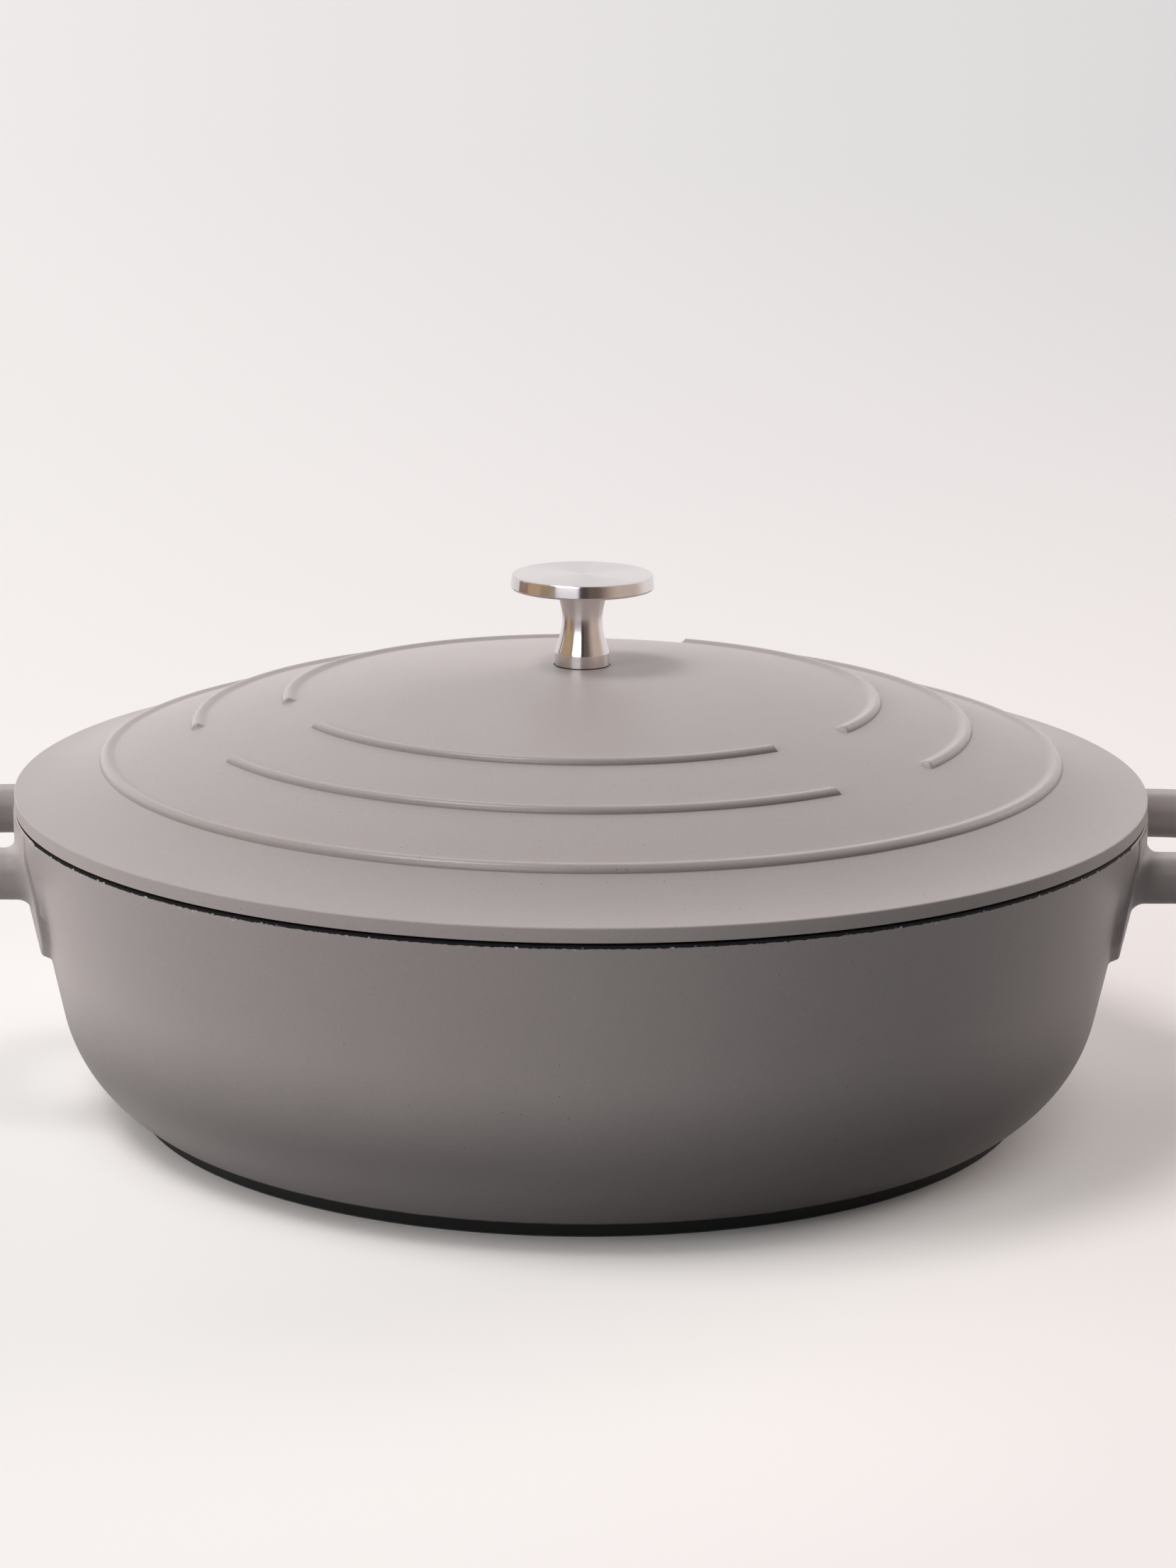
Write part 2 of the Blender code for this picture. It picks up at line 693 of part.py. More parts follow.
def main():
    clear_scene()
    parts = make_collection("shallow_casserole_pot")
    cutters = make_collection("cutters")
    coating = make_material("grey_coating", (0.30, 0.28, 0.27), 0.6, 0.0)
    nonstick = make_material("black_nonstick", (0.02, 0.02, 0.021), 0.35, 0.0)
    steel = make_material("stainless_steel", (0.62, 0.60, 0.58), 0.25, 1.0)
    plate_steel = make_material("base_steel", (0.50, 0.50, 0.50), 0.4, 1.0)
    screw_steel = make_material("screw_steel", (0.55, 0.55, 0.56), 0.3, 1.0)
    make_pot_body(parts, cutters, coating, nonstick)
    make_induction_plate(parts, cutters, plate_steel)
    make_lid(parts, cutters, coating, nonstick)
    make_knob(parts, steel)
    make_lock_washer(parts, screw_steel)
    make_knob_screw(parts, cutters, screw_steel)


main()
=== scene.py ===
# %% [markdown]
# # Shallow casserole pot: the looks
# The imported model gives the real sizes and says which pieces move together. This lesson
# dresses it: every piece is made again with a finer mesh and a finish of its own, and then
# rides on the body that carries it. The first cell loads that model and sets its pieces on
# their bodies.

# %% Load the imported model
import json
import math

import bmesh
import bpy
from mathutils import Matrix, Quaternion, Vector

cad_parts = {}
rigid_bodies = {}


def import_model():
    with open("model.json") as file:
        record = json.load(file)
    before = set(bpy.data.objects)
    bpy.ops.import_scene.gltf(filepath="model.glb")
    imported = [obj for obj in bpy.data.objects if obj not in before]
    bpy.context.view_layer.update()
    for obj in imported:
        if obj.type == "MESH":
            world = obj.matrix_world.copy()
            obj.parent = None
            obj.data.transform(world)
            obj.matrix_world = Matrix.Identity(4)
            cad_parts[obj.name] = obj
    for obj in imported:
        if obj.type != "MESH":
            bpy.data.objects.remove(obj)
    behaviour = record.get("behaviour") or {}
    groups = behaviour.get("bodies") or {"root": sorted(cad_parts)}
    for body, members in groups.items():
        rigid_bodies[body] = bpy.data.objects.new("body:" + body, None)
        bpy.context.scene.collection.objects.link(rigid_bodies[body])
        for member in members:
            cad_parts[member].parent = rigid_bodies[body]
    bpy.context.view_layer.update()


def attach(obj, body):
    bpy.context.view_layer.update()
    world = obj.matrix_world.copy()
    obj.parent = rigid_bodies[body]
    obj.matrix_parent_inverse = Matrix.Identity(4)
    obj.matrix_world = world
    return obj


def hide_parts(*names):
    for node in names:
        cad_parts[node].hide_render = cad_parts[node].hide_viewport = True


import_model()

# %% [markdown]
# ## The camera
# The photograph was taken from the front with a long lens, looking down about 18 degrees.
# These numbers come from the lid's edge, the base and the knob, whose ellipses fix the
# angle, the distance and the lens. The frame is 1659 by 2212, so the sensor's width lies
# along the tall side. The roll is the photograph's own small tilt, and the turn brings the
# left handle a little nearer than the right one, as its arms show.

# %% Place the camera
CAMERA_PLACE = Vector((0.0, -1.02101, 0.32836))
CAMERA_AIM = Vector((0.00182, 0.0, 0.08383))
CAMERA_ROLL = 0.443
CAMERA_TURN = -0.8
LENS_LENGTH = 91.116
SENSOR_SIZE = 36.0
SIGHT_LIMIT = 200.0


def add_object(name, data):
    obj = bpy.data.objects.new(name, data)
    bpy.context.scene.collection.objects.link(obj)
    return obj


def about_z(degrees):
    return Quaternion((0, 0, 1), math.radians(degrees))


camera_data = bpy.data.cameras.new("photo_camera")
camera_data.lens = LENS_LENGTH
camera_data.sensor_width = SENSOR_SIZE
camera_data.clip_end = SIGHT_LIMIT
camera = add_object("photo_camera", camera_data)
camera.location = about_z(CAMERA_TURN) @ CAMERA_PLACE
camera.rotation_mode = "QUATERNION"
sight = (CAMERA_AIM - CAMERA_PLACE).to_track_quat("-Z", "Y")
camera.rotation_quaternion = about_z(CAMERA_TURN) @ sight @ about_z(CAMERA_ROLL)
bpy.context.scene.camera = camera
fall = CAMERA_PLACE.z - CAMERA_AIM.z
print("Camera looks down", round(math.degrees(math.atan2(fall, -CAMERA_PLACE.y)), 2), "degrees")

# %% [markdown]
# ## Helpers for node trees
# Finishes and Geometry Nodes are both trees of nodes. A `Signal` is one output of a node.
# Adding or multiplying signals adds Math nodes to their tree, so a formula can be read in
# one line. `put` adds any other node, and `new_group` makes a tree with named inputs and
# outputs, which is what lets one effect serve several finishes with different values.

# %% Node helpers
# Sockets of our groups that carry something other than a plain number
SOCKET_KINDS = {
    "Place": "NodeSocketVector",
    "Direction": "NodeSocketVector",
    "Ring Count": "NodeSocketInt",
    "Mesh": "NodeSocketGeometry",
    "Finish": "NodeSocketMaterial",
    "Black Coat": "NodeSocketMaterial",
}


class Signal:
    """An output of a node; a sum on it adds a Math node to its tree."""

    def __init__(self, socket):
        self.socket = socket
        self.tree = socket.id_data

    def __add__(self, other):
        return maths("ADD", self, other)

    def __sub__(self, other):
        return maths("SUBTRACT", self, other)

    def __rsub__(self, other):
        return maths("SUBTRACT", other, self)

    def __mul__(self, other):
        return maths("MULTIPLY", self, other)

    def __truediv__(self, other):
        return maths("DIVIDE", self, other)

    def __rtruediv__(self, other):
        return maths("DIVIDE", other, self)

    def other(self, name):
        """Another output of the same node."""
        return Signal(self.socket.node.outputs[name])


def tree_of(values):
    """The tree of the first signal among some values."""
    return next(value.tree for value in values if isinstance(value, Signal))


def fill(socket, value):
    """Links an input to a signal, or else gives it a plain value."""
    if isinstance(value, Signal):
        value.tree.links.new(value.socket, socket)
    else:
        socket.default_value = value


def put(tree, kind, inputs=None, output=0, **settings):
    """Adds a node and returns one output; inputs and output go by name or number."""
    node = tree.nodes.new(kind)
    for name, value in settings.items():
        setattr(node, name, value)
    for name, value in (inputs or {}).items():
        fill(node.inputs[name], value)
    return Signal(node.outputs[output]) if len(node.outputs) else None


def maths(operation, *values):
    return put(tree_of(values), "ShaderNodeMath", dict(enumerate(values)), operation=operation)


def split(vector):
    """The three parts of a vector."""
    x = put(vector.tree, "ShaderNodeSeparateXYZ", {0: vector})
    return x, x.other("Y"), x.other("Z")


def from_axis(place):
    """Distance of a place from the pot's upright axis."""
    flat = put(place.tree, "ShaderNodeVectorMath", {0: place, 1: (1, 1, 0)}, operation="MULTIPLY")
    return put(place.tree, "ShaderNodeVectorMath", {0: flat}, "Value", operation="LENGTH")


def noise(place, scale, detail, roughness=0.5):
    inputs = {"Vector": place, "Scale": scale, "Detail": detail, "Roughness": roughness}
    return put(place.tree, "ShaderNodeTexNoise", inputs, "Fac")


def step(value, start, end, bend="SMOOTHSTEP"):
    """Zero at the start, one at the end, and soft between unless the bend is LINEAR."""
    inputs = {"Value": value, "From Min": start, "From Max": end}
    return put(value.tree, "ShaderNodeMapRange", inputs, "Result", interpolation_type=bend)


def new_group(name, kind, inputs, outputs):
    """A tree with named sockets, its inputs as signals, and the sockets of its results."""
    tree = bpy.data.node_groups.new(name, kind)
    for way, names in (("INPUT", inputs), ("OUTPUT", outputs)):
        for socket in names:
            socket_kind = SOCKET_KINDS.get(socket, "NodeSocketFloat")
            tree.interface.new_socket(name=socket, in_out=way, socket_type=socket_kind)
    given = {socket.name: Signal(socket) for socket in tree.nodes.new("NodeGroupInput").outputs}
    return tree, given, tree.nodes.new("NodeGroupOutput").inputs


# %% [markdown]
# ## Coating grain
# The grey coating is sprayed on and baked, so it isn't one flat grey: it has a fine powdery
# mottle of about half a millimetre, with a slower cloudiness below it. One shader group
# makes both from noise on Object coordinates, so the grain keeps its real size on every
# piece. It puts out a shade that varies round one, and a height for the bump.

# %% Build the powder grain group
CLOUD_SIZE = 0.018

powder_grain, given, result = new_group(
    "powder_grain", "ShaderNodeTree", ["Place", "Grain Size", "Contrast", "Cloudiness"], ["Shade", "Height"]
)
fine = noise(given["Place"], 1.0 / given["Grain Size"], 3.0, 0.65)
cloud = noise(given["Place"], 1 / CLOUD_SIZE, 2.0)
mottle = (fine - 0.5) * given["Contrast"] + (cloud - 0.5) * given["Cloudiness"]
fill(result["Shade"], mottle + 1.0)
fill(result["Height"], fine)
print("Group", powder_grain.name, "has", len(powder_grain.nodes), "nodes")

# %% [markdown]
# ## Pin specks
# Close up, the coating also holds a few pinhead specks, some darker and some paler than
# the grey. A Voronoi texture gives one random point in each cell, and a random colour for
# each cell, so a threshold on that colour keeps only a small share of the points.

# %% Build the pin speck group
SPECK_CORE = 0.4

pin_specks, given, result = new_group(
    "pin_specks", "ShaderNodeTree", ["Place", "Spacing", "Size", "Share"], ["Mask"]
)
cells = {"Vector": given["Place"], "Scale": 1.0 / given["Spacing"]}
distance = put(pin_specks, "ShaderNodeTexVoronoi", cells, "Distance")
relative_size = given["Size"] / given["Spacing"]
inside = step(distance, relative_size, relative_size * SPECK_CORE)
cell_number = put(pin_specks, "ShaderNodeSeparateColor", {0: distance.other("Color")})
fill(result["Mask"], inside * maths("LESS_THAN", cell_number, given["Share"]))
print("Group", pin_specks.name, "has", len(pin_specks.nodes), "nodes")

# %% [markdown]
# ## Ragged line
# Where the coating ends, at the black rim and at the black foot, the spray leaves an
# uneven boundary. This group compares a point's height with a limit after noise has moved
# it a little, and gives a mask that is one below the limit and zero above.

# %% Build the ragged line group
ragged_line, given, result = new_group(
    "ragged_line", "ShaderNodeTree", ["Place", "Height", "Softness", "Raggedness", "Tear Size"], ["Below"]
)
tears = noise(given["Place"], 1.0 / given["Tear Size"], 4.0, 0.6)
moved_height = split(given["Place"])[2] + (tears - 0.5) * given["Raggedness"]
half_soft = given["Softness"] * 0.5
fill(result["Below"], step(moved_height, given["Height"] + half_soft, given["Height"] - half_soft))
print("Group", ragged_line.name, "has", len(ragged_line.nodes), "nodes")

# %% [markdown]
# ## Turned marks
# A lathe tool leaves fine grooves that run round the axis. On a face they are circles and
# on a stem they are rings, so the pattern has to depend on the radius and on the height
# but not on the angle. Noise of one dimension, read at radius plus height, gives lines of
# uneven depth and spacing, as a real cut has.

# %% Build the turned marks group
HEIGHT_SHARE = 1.7

turned_marks, given, result = new_group(
    "turned_marks", "ShaderNodeTree", ["Place", "Line Width", "Contrast"], ["Shade", "Height"]
)
along = from_axis(given["Place"]) + split(given["Place"])[2] * HEIGHT_SHARE
lines = {"W": along / given["Line Width"], "Scale": 1.0, "Detail": 3.0, "Roughness": 0.7}
grooves = put(turned_marks, "ShaderNodeTexNoise", lines, "Fac", noise_dimensions="1D")
fill(result["Shade"], (grooves - 0.5) * given["Contrast"] + 1.0)
fill(result["Height"], grooves)
print("Group", turned_marks.name, "has", len(turned_marks.nodes), "nodes")

# %% [markdown]
# ## The finishes
# Each finish is a material with one Principled shader, whose constants are set on its own
# sockets, and the groups above feed its colour, roughness and bump. Colours are written as
# linear values, as Blender stores them.

# %% Material helpers
def new_material(name, **constants):
    """A material, the inputs of its shader, and its Object coordinates."""
    material = bpy.data.materials.new(name)
    material.use_nodes = True
    shader = material.node_tree.nodes["Principled BSDF"].inputs
    for socket, value in constants.items():
        shader[socket.replace("_", " ")].default_value = value
    return material, shader, put(material.node_tree, "ShaderNodeTexCoord", output="Object")


def use_group(group, **inputs):
    """Places a shared group in the tree of its inputs and returns its outputs."""
    named = {name.replace("_", " "): value for name, value in inputs.items()}
    placed = put(tree_of(inputs.values()), "ShaderNodeGroup", named, node_tree=group)
    return {socket.name: Signal(socket) for socket in placed.socket.node.outputs}


def blend_colours(factor, first, second, mode="MIX"):
    """Mixes two colours, each a signal or three numbers; a mode combines them instead."""
    sides = [side if isinstance(side, Signal) else (*side, 1) for side in (first, second)]
    inputs = {"Factor": factor, "A": sides[0], "B": sides[1]}
    tree = tree_of((factor, first, second))
    return put(tree, "ShaderNodeMix", inputs, "Result", data_type="RGBA", blend_type=mode)


def mix_shaders(factor, first, second):
    return put(factor.tree, "ShaderNodeMixShader", {0: factor, 1: first, 2: second})


def shaded(shade, colour):
    """A colour made darker or lighter by a shade that lies round one."""
    grey = put(tree_of((shade, colour)), "ShaderNodeCombineColor", {0: shade, 1: shade, 2: shade})
    return blend_colours(1.0, colour, grey, "MULTIPLY")


def add_bump(shader, height, depth):
    """Depth is the height of the bumps in metres."""
    fill(shader["Normal"], put(height.tree, "ShaderNodeBump", {"Height": height, "Distance": depth}))


def below_line(place, height, softness, raggedness, tear_size):
    """One below a ragged line round the pot at a height, and zero above it."""
    sizes = {"Height": height, "Softness": softness, "Raggedness": raggedness, "Tear_Size": tear_size}
    return use_group(ragged_line, Place=place, **sizes)["Below"]


# %% [markdown]
# ## Grey coating
# The pot and its lid have the same warm grey coating. It is matt to silky, so roughness is
# fairly high, and its grain breaks up the highlight. `coat` builds the shared part once,
# because both materials need it, and hands back the colour for what differs. On the pot
# the colour is darker towards the foot, and the coating ends at ragged black lines under
# the lid and at the foot, whose black is deeper than the non-stick coat: real black paint
# with a painted shade on it. Small pale chips lie along the upper line. On the lid a
# painted shade darkens the corner at each raised ring's outer foot, and the rings' crests
# are rubbed smoother. Two attributes that the rings' own tree stores say where that is.

# %% Make the grey coating
COATING_GREY = (0.484, 0.434, 0.423)
SPECK_DARK = (0.18, 0.16, 0.155)
SPECK_PALE = (0.68, 0.63, 0.62)
SPECK_SIZE = 0.00022
GRAIN_SIZE = 0.00055
GRAIN_CONTRAST = 0.26
GRAIN_CLOUDINESS = 0.05
GRAIN_DEPTH = 0.00003
COAT_ROUGHNESS = 0.42


def coat(name):
    """A material with the coating's colour and grain; returns what a caller adds to."""
    material, shader, place = new_material(name, Specular_IOR_Level=0.35, Diffuse_Roughness=0.8)
    sizes = {"Grain_Size": GRAIN_SIZE, "Contrast": GRAIN_CONTRAST, "Cloudiness": GRAIN_CLOUDINESS}
    grain = use_group(powder_grain, Place=place, **sizes)
    colour = shaded(grain["Shade"], COATING_GREY)
    for spacing, share, speck in ((0.0022, 0.12, SPECK_DARK), (0.0031, 0.10, SPECK_PALE)):
        specks = use_group(pin_specks, Place=place, Spacing=spacing, Size=SPECK_SIZE, Share=share)
        colour = blend_colours(specks["Mask"], colour, speck)
    add_bump(shader, grain["Height"], GRAIN_DEPTH)
    return material, shader, place, colour


# %% Coating of the pot
RIM_LINE = 0.0804
RIM_PAINT_REACH = 0.1483
RIM_TEARS = (0.0009, 0.0012)
# Real black paint for the rim and foot lines, made deeper than the non-stick coat: a painted shade, above
# all in the seam under the lid.
BLACK_PAINT_WITH_SHADE = (0.003, 0.003, 0.003)
PAINT_ROUGHNESS = 0.90
CHIP_PALE = (0.80, 0.77, 0.75)
CHIP_BELOW = 0.0005
CHIP_ABOVE = 0.0003
CHIP_RADIUS = 0.1470
FOOT_LINE = 0.0046
FADE_HEIGHT = 0.034
FADE_LENGTH = 0.028
FADE_SHADE = 0.50

pot_coating, shader, place, colour = coat("warm_grey_coating")
# The colour is darker towards the foot.
darker_towards_foot = below_line(place, FADE_HEIGHT, FADE_LENGTH, 0.002, 0.02)
colour = blend_colours(darker_towards_foot, colour, shaded(FADE_SHADE, colour))
radius = from_axis(place)
rim_paint = 1.0 - below_line(place, RIM_LINE, 0.0001, *RIM_TEARS)
rim_paint *= maths("LESS_THAN", radius, RIM_PAINT_REACH)
colour = blend_colours(rim_paint, colour, BLACK_PAINT_WITH_SHADE)
chips = use_group(pin_specks, Place=place, Spacing=0.0017, Size=0.0006, Share=0.45)["Mask"]
chips *= 1.0 - below_line(place, RIM_LINE - CHIP_BELOW, 0.0002, *RIM_TEARS)
chips *= below_line(place, RIM_LINE + CHIP_ABOVE, 0.0002, *RIM_TEARS)
chips *= maths("GREATER_THAN", radius, CHIP_RADIUS)
colour = blend_colours(chips, colour, CHIP_PALE)
foot_paint = below_line(place, FOOT_LINE, 0.0012, 0.0006, 0.004)
fill(shader["Base Color"], blend_colours(foot_paint, colour, BLACK_PAINT_WITH_SHADE))
painted = maths("MAXIMUM", rim_paint, foot_paint)
fill(shader["Roughness"], painted * (PAINT_ROUGHNESS - COAT_ROUGHNESS) + COAT_ROUGHNESS)
print("Coating:", pot_coating.name)

# %% Coating of the lid
# Painted shade in the corner at each raised ring's outer foot.
PAINTED_CORNER_SHADE = 0.68
CREST_POLISH = -0.16

lid_coating, shader, place, colour = coat("warm_grey_lid_coating")
ring_foot_shade = put(place.tree, "ShaderNodeAttribute", output="Fac", attribute_name="ring_foot_shade")
ring_face = put(place.tree, "ShaderNodeAttribute", output="Fac", attribute_name="ring_face")
fill(shader["Base Color"], blend_colours(ring_foot_shade, colour, shaded(PAINTED_CORNER_SHADE, colour)))
fill(shader["Roughness"], ring_face * CREST_POLISH + COAT_ROUGHNESS)
print("Coating:", lid_coating.name)

# %% [markdown]
# ## Black non-stick
# The inside of the pot, its rim, the ring it stands on and the underside of the lid are
# black. This coating is smoother than the grey one and carries very fine pale flecks.

# %% Make the black non-stick
BLACK_COAT = (0.012, 0.011, 0.012)
FLECK_GREY = (0.10, 0.10, 0.10)
FLECK_DEPTH = 0.00002

nonstick, shader, place = new_material("black_nonstick", Roughness=0.36, Specular_IOR_Level=0.5)
grain = use_group(powder_grain, Place=place, Grain_Size=0.0006, Contrast=0.5, Cloudiness=0.15)
flecks = use_group(pin_specks, Place=place, Spacing=0.0016, Size=0.00024, Share=0.25)["Mask"]
fill(shader["Base Color"], blend_colours(flecks, shaded(grain["Shade"], BLACK_COAT), FLECK_GREY))
add_bump(shader, grain["Height"], FLECK_DEPTH)
print("Finish:", nonstick.name)

# %% [markdown]
# ## Three steels
# The knob is turned stainless steel with a fine satin cut, the plate in the base is rolled
# sheet that has dulled, and the screw is plated. They share one recipe and differ in the
# colour, the roughness and the width of the marks. The knob's grooves also draw each
# reflection out at right angles to themselves, so its shader is anisotropic, with the
# tangent round the axis and a quarter turn on it.

# %% Make the steels
QUARTER_TURN = 0.25


def steel(name, colour, roughness, line_width, contrast, depth, anisotropy=0.0):
    constants = {"Metallic": 1.0, "Anisotropic": anisotropy, "Anisotropic_Rotation": QUARTER_TURN}
    material, shader, place = new_material(name, **constants)
    marks = use_group(turned_marks, Place=place, Line_Width=line_width, Contrast=contrast)
    wear = use_group(powder_grain, Place=place, Grain_Size=0.0012, Contrast=0.1, Cloudiness=0.1)["Shade"]
    fill(shader["Base Color"], shaded(marks["Shade"] * wear, colour))
    fill(shader["Roughness"], wear * roughness)
    if anisotropy:
        fill(shader["Tangent"], put(place.tree, "ShaderNodeTangent", direction_type="RADIAL", axis="Z"))
    add_bump(shader, marks["Height"], depth)
    return material


knob_steel = steel("turned_steel", (0.62, 0.585, 0.57), 0.17, 0.0003, 0.10, 0.000002, anisotropy=0.9)
plate_steel = steel("base_steel", (0.52, 0.51, 0.50), 0.34, 0.0004, 0.16, 0.00001)
screw_steel = steel("screw_steel", (0.58, 0.58, 0.59), 0.28, 0.00025, 0.10, 0.000004)
print("Steels:", knob_steel.name, plate_steel.name, screw_steel.name)

# %% [markdown]
# ## Turning a profile
# Most of the pot was spun about one axis, and so is its mesh. `turned` takes a profile of
# radius and height points and a list of angles, and joins them into a closed skin. A point
# on the axis becomes a single vertex, which closes the pole. The normals are recalculated
# at the end and the volume is printed: it is above zero only if the faces point outwards.

# %% Mesh helpers
def even_angles(count):
    return [math.tau * i / count for i in range(count)]


def around(radius, height, angle):
    """A point at an angle measured from the front, towards the right."""
    return (radius * math.sin(angle), -radius * math.cos(angle), height)


def add_ring_faces(bm, low, high):
    """Joins two rings; a ring of one vertex is a pole."""
    count = max(len(low), len(high))
    for i in range(count):
        j = (i + 1) % count
        corners = [low[i % len(low)], low[j % len(low)], high[j % len(high)], high[i % len(high)]]
        bm.faces.new(list(dict.fromkeys(corners)))


def mesh_object(name, bm):
    """Ends a bmesh as an object with outward faces."""
    bmesh.ops.recalc_face_normals(bm, faces=bm.faces)
    volume = bm.calc_volume(signed=True)
    mesh = bpy.data.meshes.new(name)
    bm.to_mesh(mesh)
    bm.free()
    print(f"{name}: {len(mesh.polygons)} faces, {volume * 1e6:.1f} cm3")
    return add_object(name, mesh)


def turned(name, profile, angles, closed=False):
    bm = bmesh.new()
    rings = []
    for radius, height in profile:
        places = [(0, 0, height)] if radius == 0 else [around(radius, height, angle) for angle in angles]
        rings.append([bm.verts.new(place) for place in places])
    following = rings[1:] + rings[:1] if closed else rings[1:]
    for low, high in zip(rings, following):
        add_ring_faces(bm, low, high)
    return mesh_object(name, bm)


def shade_by_angle(obj, degrees):
    obj.data.shade_smooth()
    obj.data.set_sharp_from_angle(angle=math.radians(degrees))


def arc(centre, radius, start, end, count):
    """Points along an arc of a profile, with its angles in degrees."""
    points = []
    for i in range(count + 1):
        angle = math.radians(start + (end - start) * i / count)
        points.append((centre[0] + radius * math.cos(angle), centre[1] + radius * math.sin(angle)))
    return points


def between(start, end, count):
    """The points strictly between two profile points."""
    (x, y), (far_x, far_y) = start, end
    return [(x + (far_x - x) * i / count, y + (far_y - y) * i / count) for i in range(1, count)]


# %% [markdown]
# ## The pot's profile
# The wall leans out towards the rim and runs through a wide round corner into a flat base.
# Below the corner a small step separates the grey wall from the black foot band. The sizes
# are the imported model's own. What is added here is finer: round edges on the rim, and
# enough rows for a smooth corner.

# %% Sizes of the pot
RIM_RADIUS = 0.148
RIM_HEIGHT = 0.0812
RIM_CHAMFER = 0.0006
WALL_TAPER = 0.207
WALL_THICKNESS = 0.004
WALL_SLANT = math.hypot(1, WALL_TAPER)
WALL_ANGLE = -math.degrees(math.atan(WALL_TAPER))
CORNER_RADIUS = 0.0365
CORNER_SINK = 0.0016
INNER_CORNER_RADIUS = 0.028
FLOOR_THICKNESS = 0.0058
FOOT_HEIGHT = 0.0042
FOOT_LEAN = 0.0028
FOOT_STEP = 0.0004
FOOT_CHAMFER = 0.0005
FOOT_RING_WIDTH = 0.0255
PLATE_THICKNESS = 0.0012
SEAT_GAP = 0.0003


def wall_radius(height, inset=0.0):
    """Radius of the leaning wall at a height, or of a cone set in from it."""
    return RIM_RADIUS - WALL_TAPER * (RIM_HEIGHT - RIM_CHAMFER - height) - inset * WALL_SLANT


def corner_centre(radius, height, inset):
    return (wall_radius(height, inset) - radius * WALL_SLANT, height)


outer_centre = corner_centre(CORNER_RADIUS, CORNER_RADIUS - CORNER_SINK, 0)
foot_angle = -math.degrees(math.asin((outer_centre[1] - FOOT_HEIGHT) / CORNER_RADIUS))
outer_corner = arc(outer_centre, CORNER_RADIUS, WALL_ANGLE, foot_angle, 26)
foot_radius = outer_corner[-1][0] - FOOT_STEP - FOOT_LEAN
plate_radius = foot_radius - FOOT_RING_WIDTH
print("Base is", round(2000 * foot_radius, 1), "mm across, steel plate", round(2000 * plate_radius, 1))

# %% Lay out the pot's profile
inner_centre = corner_centre(INNER_CORNER_RADIUS, FLOOR_THICKNESS + INNER_CORNER_RADIUS, WALL_THICKNESS)
inner_corner = arc(inner_centre, INNER_CORNER_RADIUS, -90, WALL_ANGLE, 18)
rim_edge_height = RIM_HEIGHT - RIM_CHAMFER
inner_rim = (wall_radius(rim_edge_height, WALL_THICKNESS), rim_edge_height)
rim_in = arc((inner_rim[0] + RIM_CHAMFER, rim_edge_height), RIM_CHAMFER, 180, 90, 4)
rim_out = arc((RIM_RADIUS - RIM_CHAMFER, rim_edge_height), RIM_CHAMFER, 90, 0, 4)
recess_radius = plate_radius + SEAT_GAP
recess_top = PLATE_THICKNESS + SEAT_GAP
foot_top = (foot_radius + FOOT_LEAN, FOOT_HEIGHT - FOOT_STEP)
foot_bottom = (foot_radius + FOOT_CHAMFER, FOOT_CHAMFER)

pot_profile = [(0, FLOOR_THICKNESS)]
pot_profile += between((0, FLOOR_THICKNESS), inner_corner[0], 10)
pot_profile += inner_corner
pot_profile += between(inner_corner[-1], inner_rim, 12)
pot_profile += rim_in + rim_out
pot_profile += between(rim_out[-1], outer_corner[0], 30)
pot_profile += outer_corner
pot_profile += [foot_top] + between(foot_top, foot_bottom, 4) + [foot_bottom, (foot_radius, 0)]
pot_profile += between((foot_radius, 0), (recess_radius, 0), 3)
pot_profile += [(recess_radius, 0), (recess_radius, recess_top)]
pot_profile += between((recess_radius, recess_top), (0, recess_top), 6) + [(0, recess_top)]
print("Profile has", len(pot_profile), "points")

# %% [markdown]
# ## The pot's shell
# Beside each handle pad the wall of the real pot swells out a little, where the metal runs
# from the wall into the pad. The shell is turned first and its vertices are then moved out
# there, more so near the rim, with closer angles so that the swell comes out smooth.

# %% Turn the pot's shell
POT_STEPS = 384
FINE_REACH = (14, 26)
FINE_STEP = 0.3
FLARE_FOOT = 0.058
FLARE_WIDTH = 0.0165
FLARE_RISE = 0.0014
FLARE_LIMIT = 0.1485
FLARE_START = 0.0452
FLARE_BEND = 1.7


def shell_angles():
    """Even angles, with closer ones where the wall swells beside the handle pads."""
    angles = {round(360 * i / POT_STEPS, 4) for i in range(POT_STEPS)}
    near, far = FINE_REACH
    for centre in (90, 270):
        for side in (-1, 1):
            low, high = sorted((centre + side * near, centre + side * far))
            angles -= {angle for angle in angles if low - FINE_STEP < angle < high + FINE_STEP}
            angles |= {round(low + FINE_STEP * i, 4) for i in range(round((high - low) / FINE_STEP) + 1)}
    return [math.radians(angle) for angle in sorted(angles)]


def flare_walls(obj):
    for vertex in obj.data.vertices:
        place = vertex.co
        radius = math.hypot(place.x, place.y)
        height = min(place.z, rim_edge_height)
        wall = wall_radius(height)
        width = FLARE_WIDTH * (height - FLARE_FOOT) / (rim_edge_height - FLARE_FOOT)
        if width <= 0 or radius < wall - WALL_THICKNESS / 3:
            continue
        nearness = min(1.0, 1 - (abs(place.y) - FLARE_START) / width)
        if nearness > 0:
            rise = min(FLARE_RISE * nearness**FLARE_BEND, FLARE_LIMIT - wall)
            place.xy *= 1 + rise / radius


pot_body = turned("pot_body", pot_profile, shell_angles())
flare_walls(pot_body)

# %% [markdown]
# ## Handle pads
# Each handle grows from a raised pad on the wall, a little wider than the handle and drawn
# in towards its foot. The pad follows the wall's cone, so every ring of its skin is laid
# on that cone at its own rise: a small concave fillet at the foot, a drafted side and a
# round edge. The rings carry on inside the wall, where the union removes them.

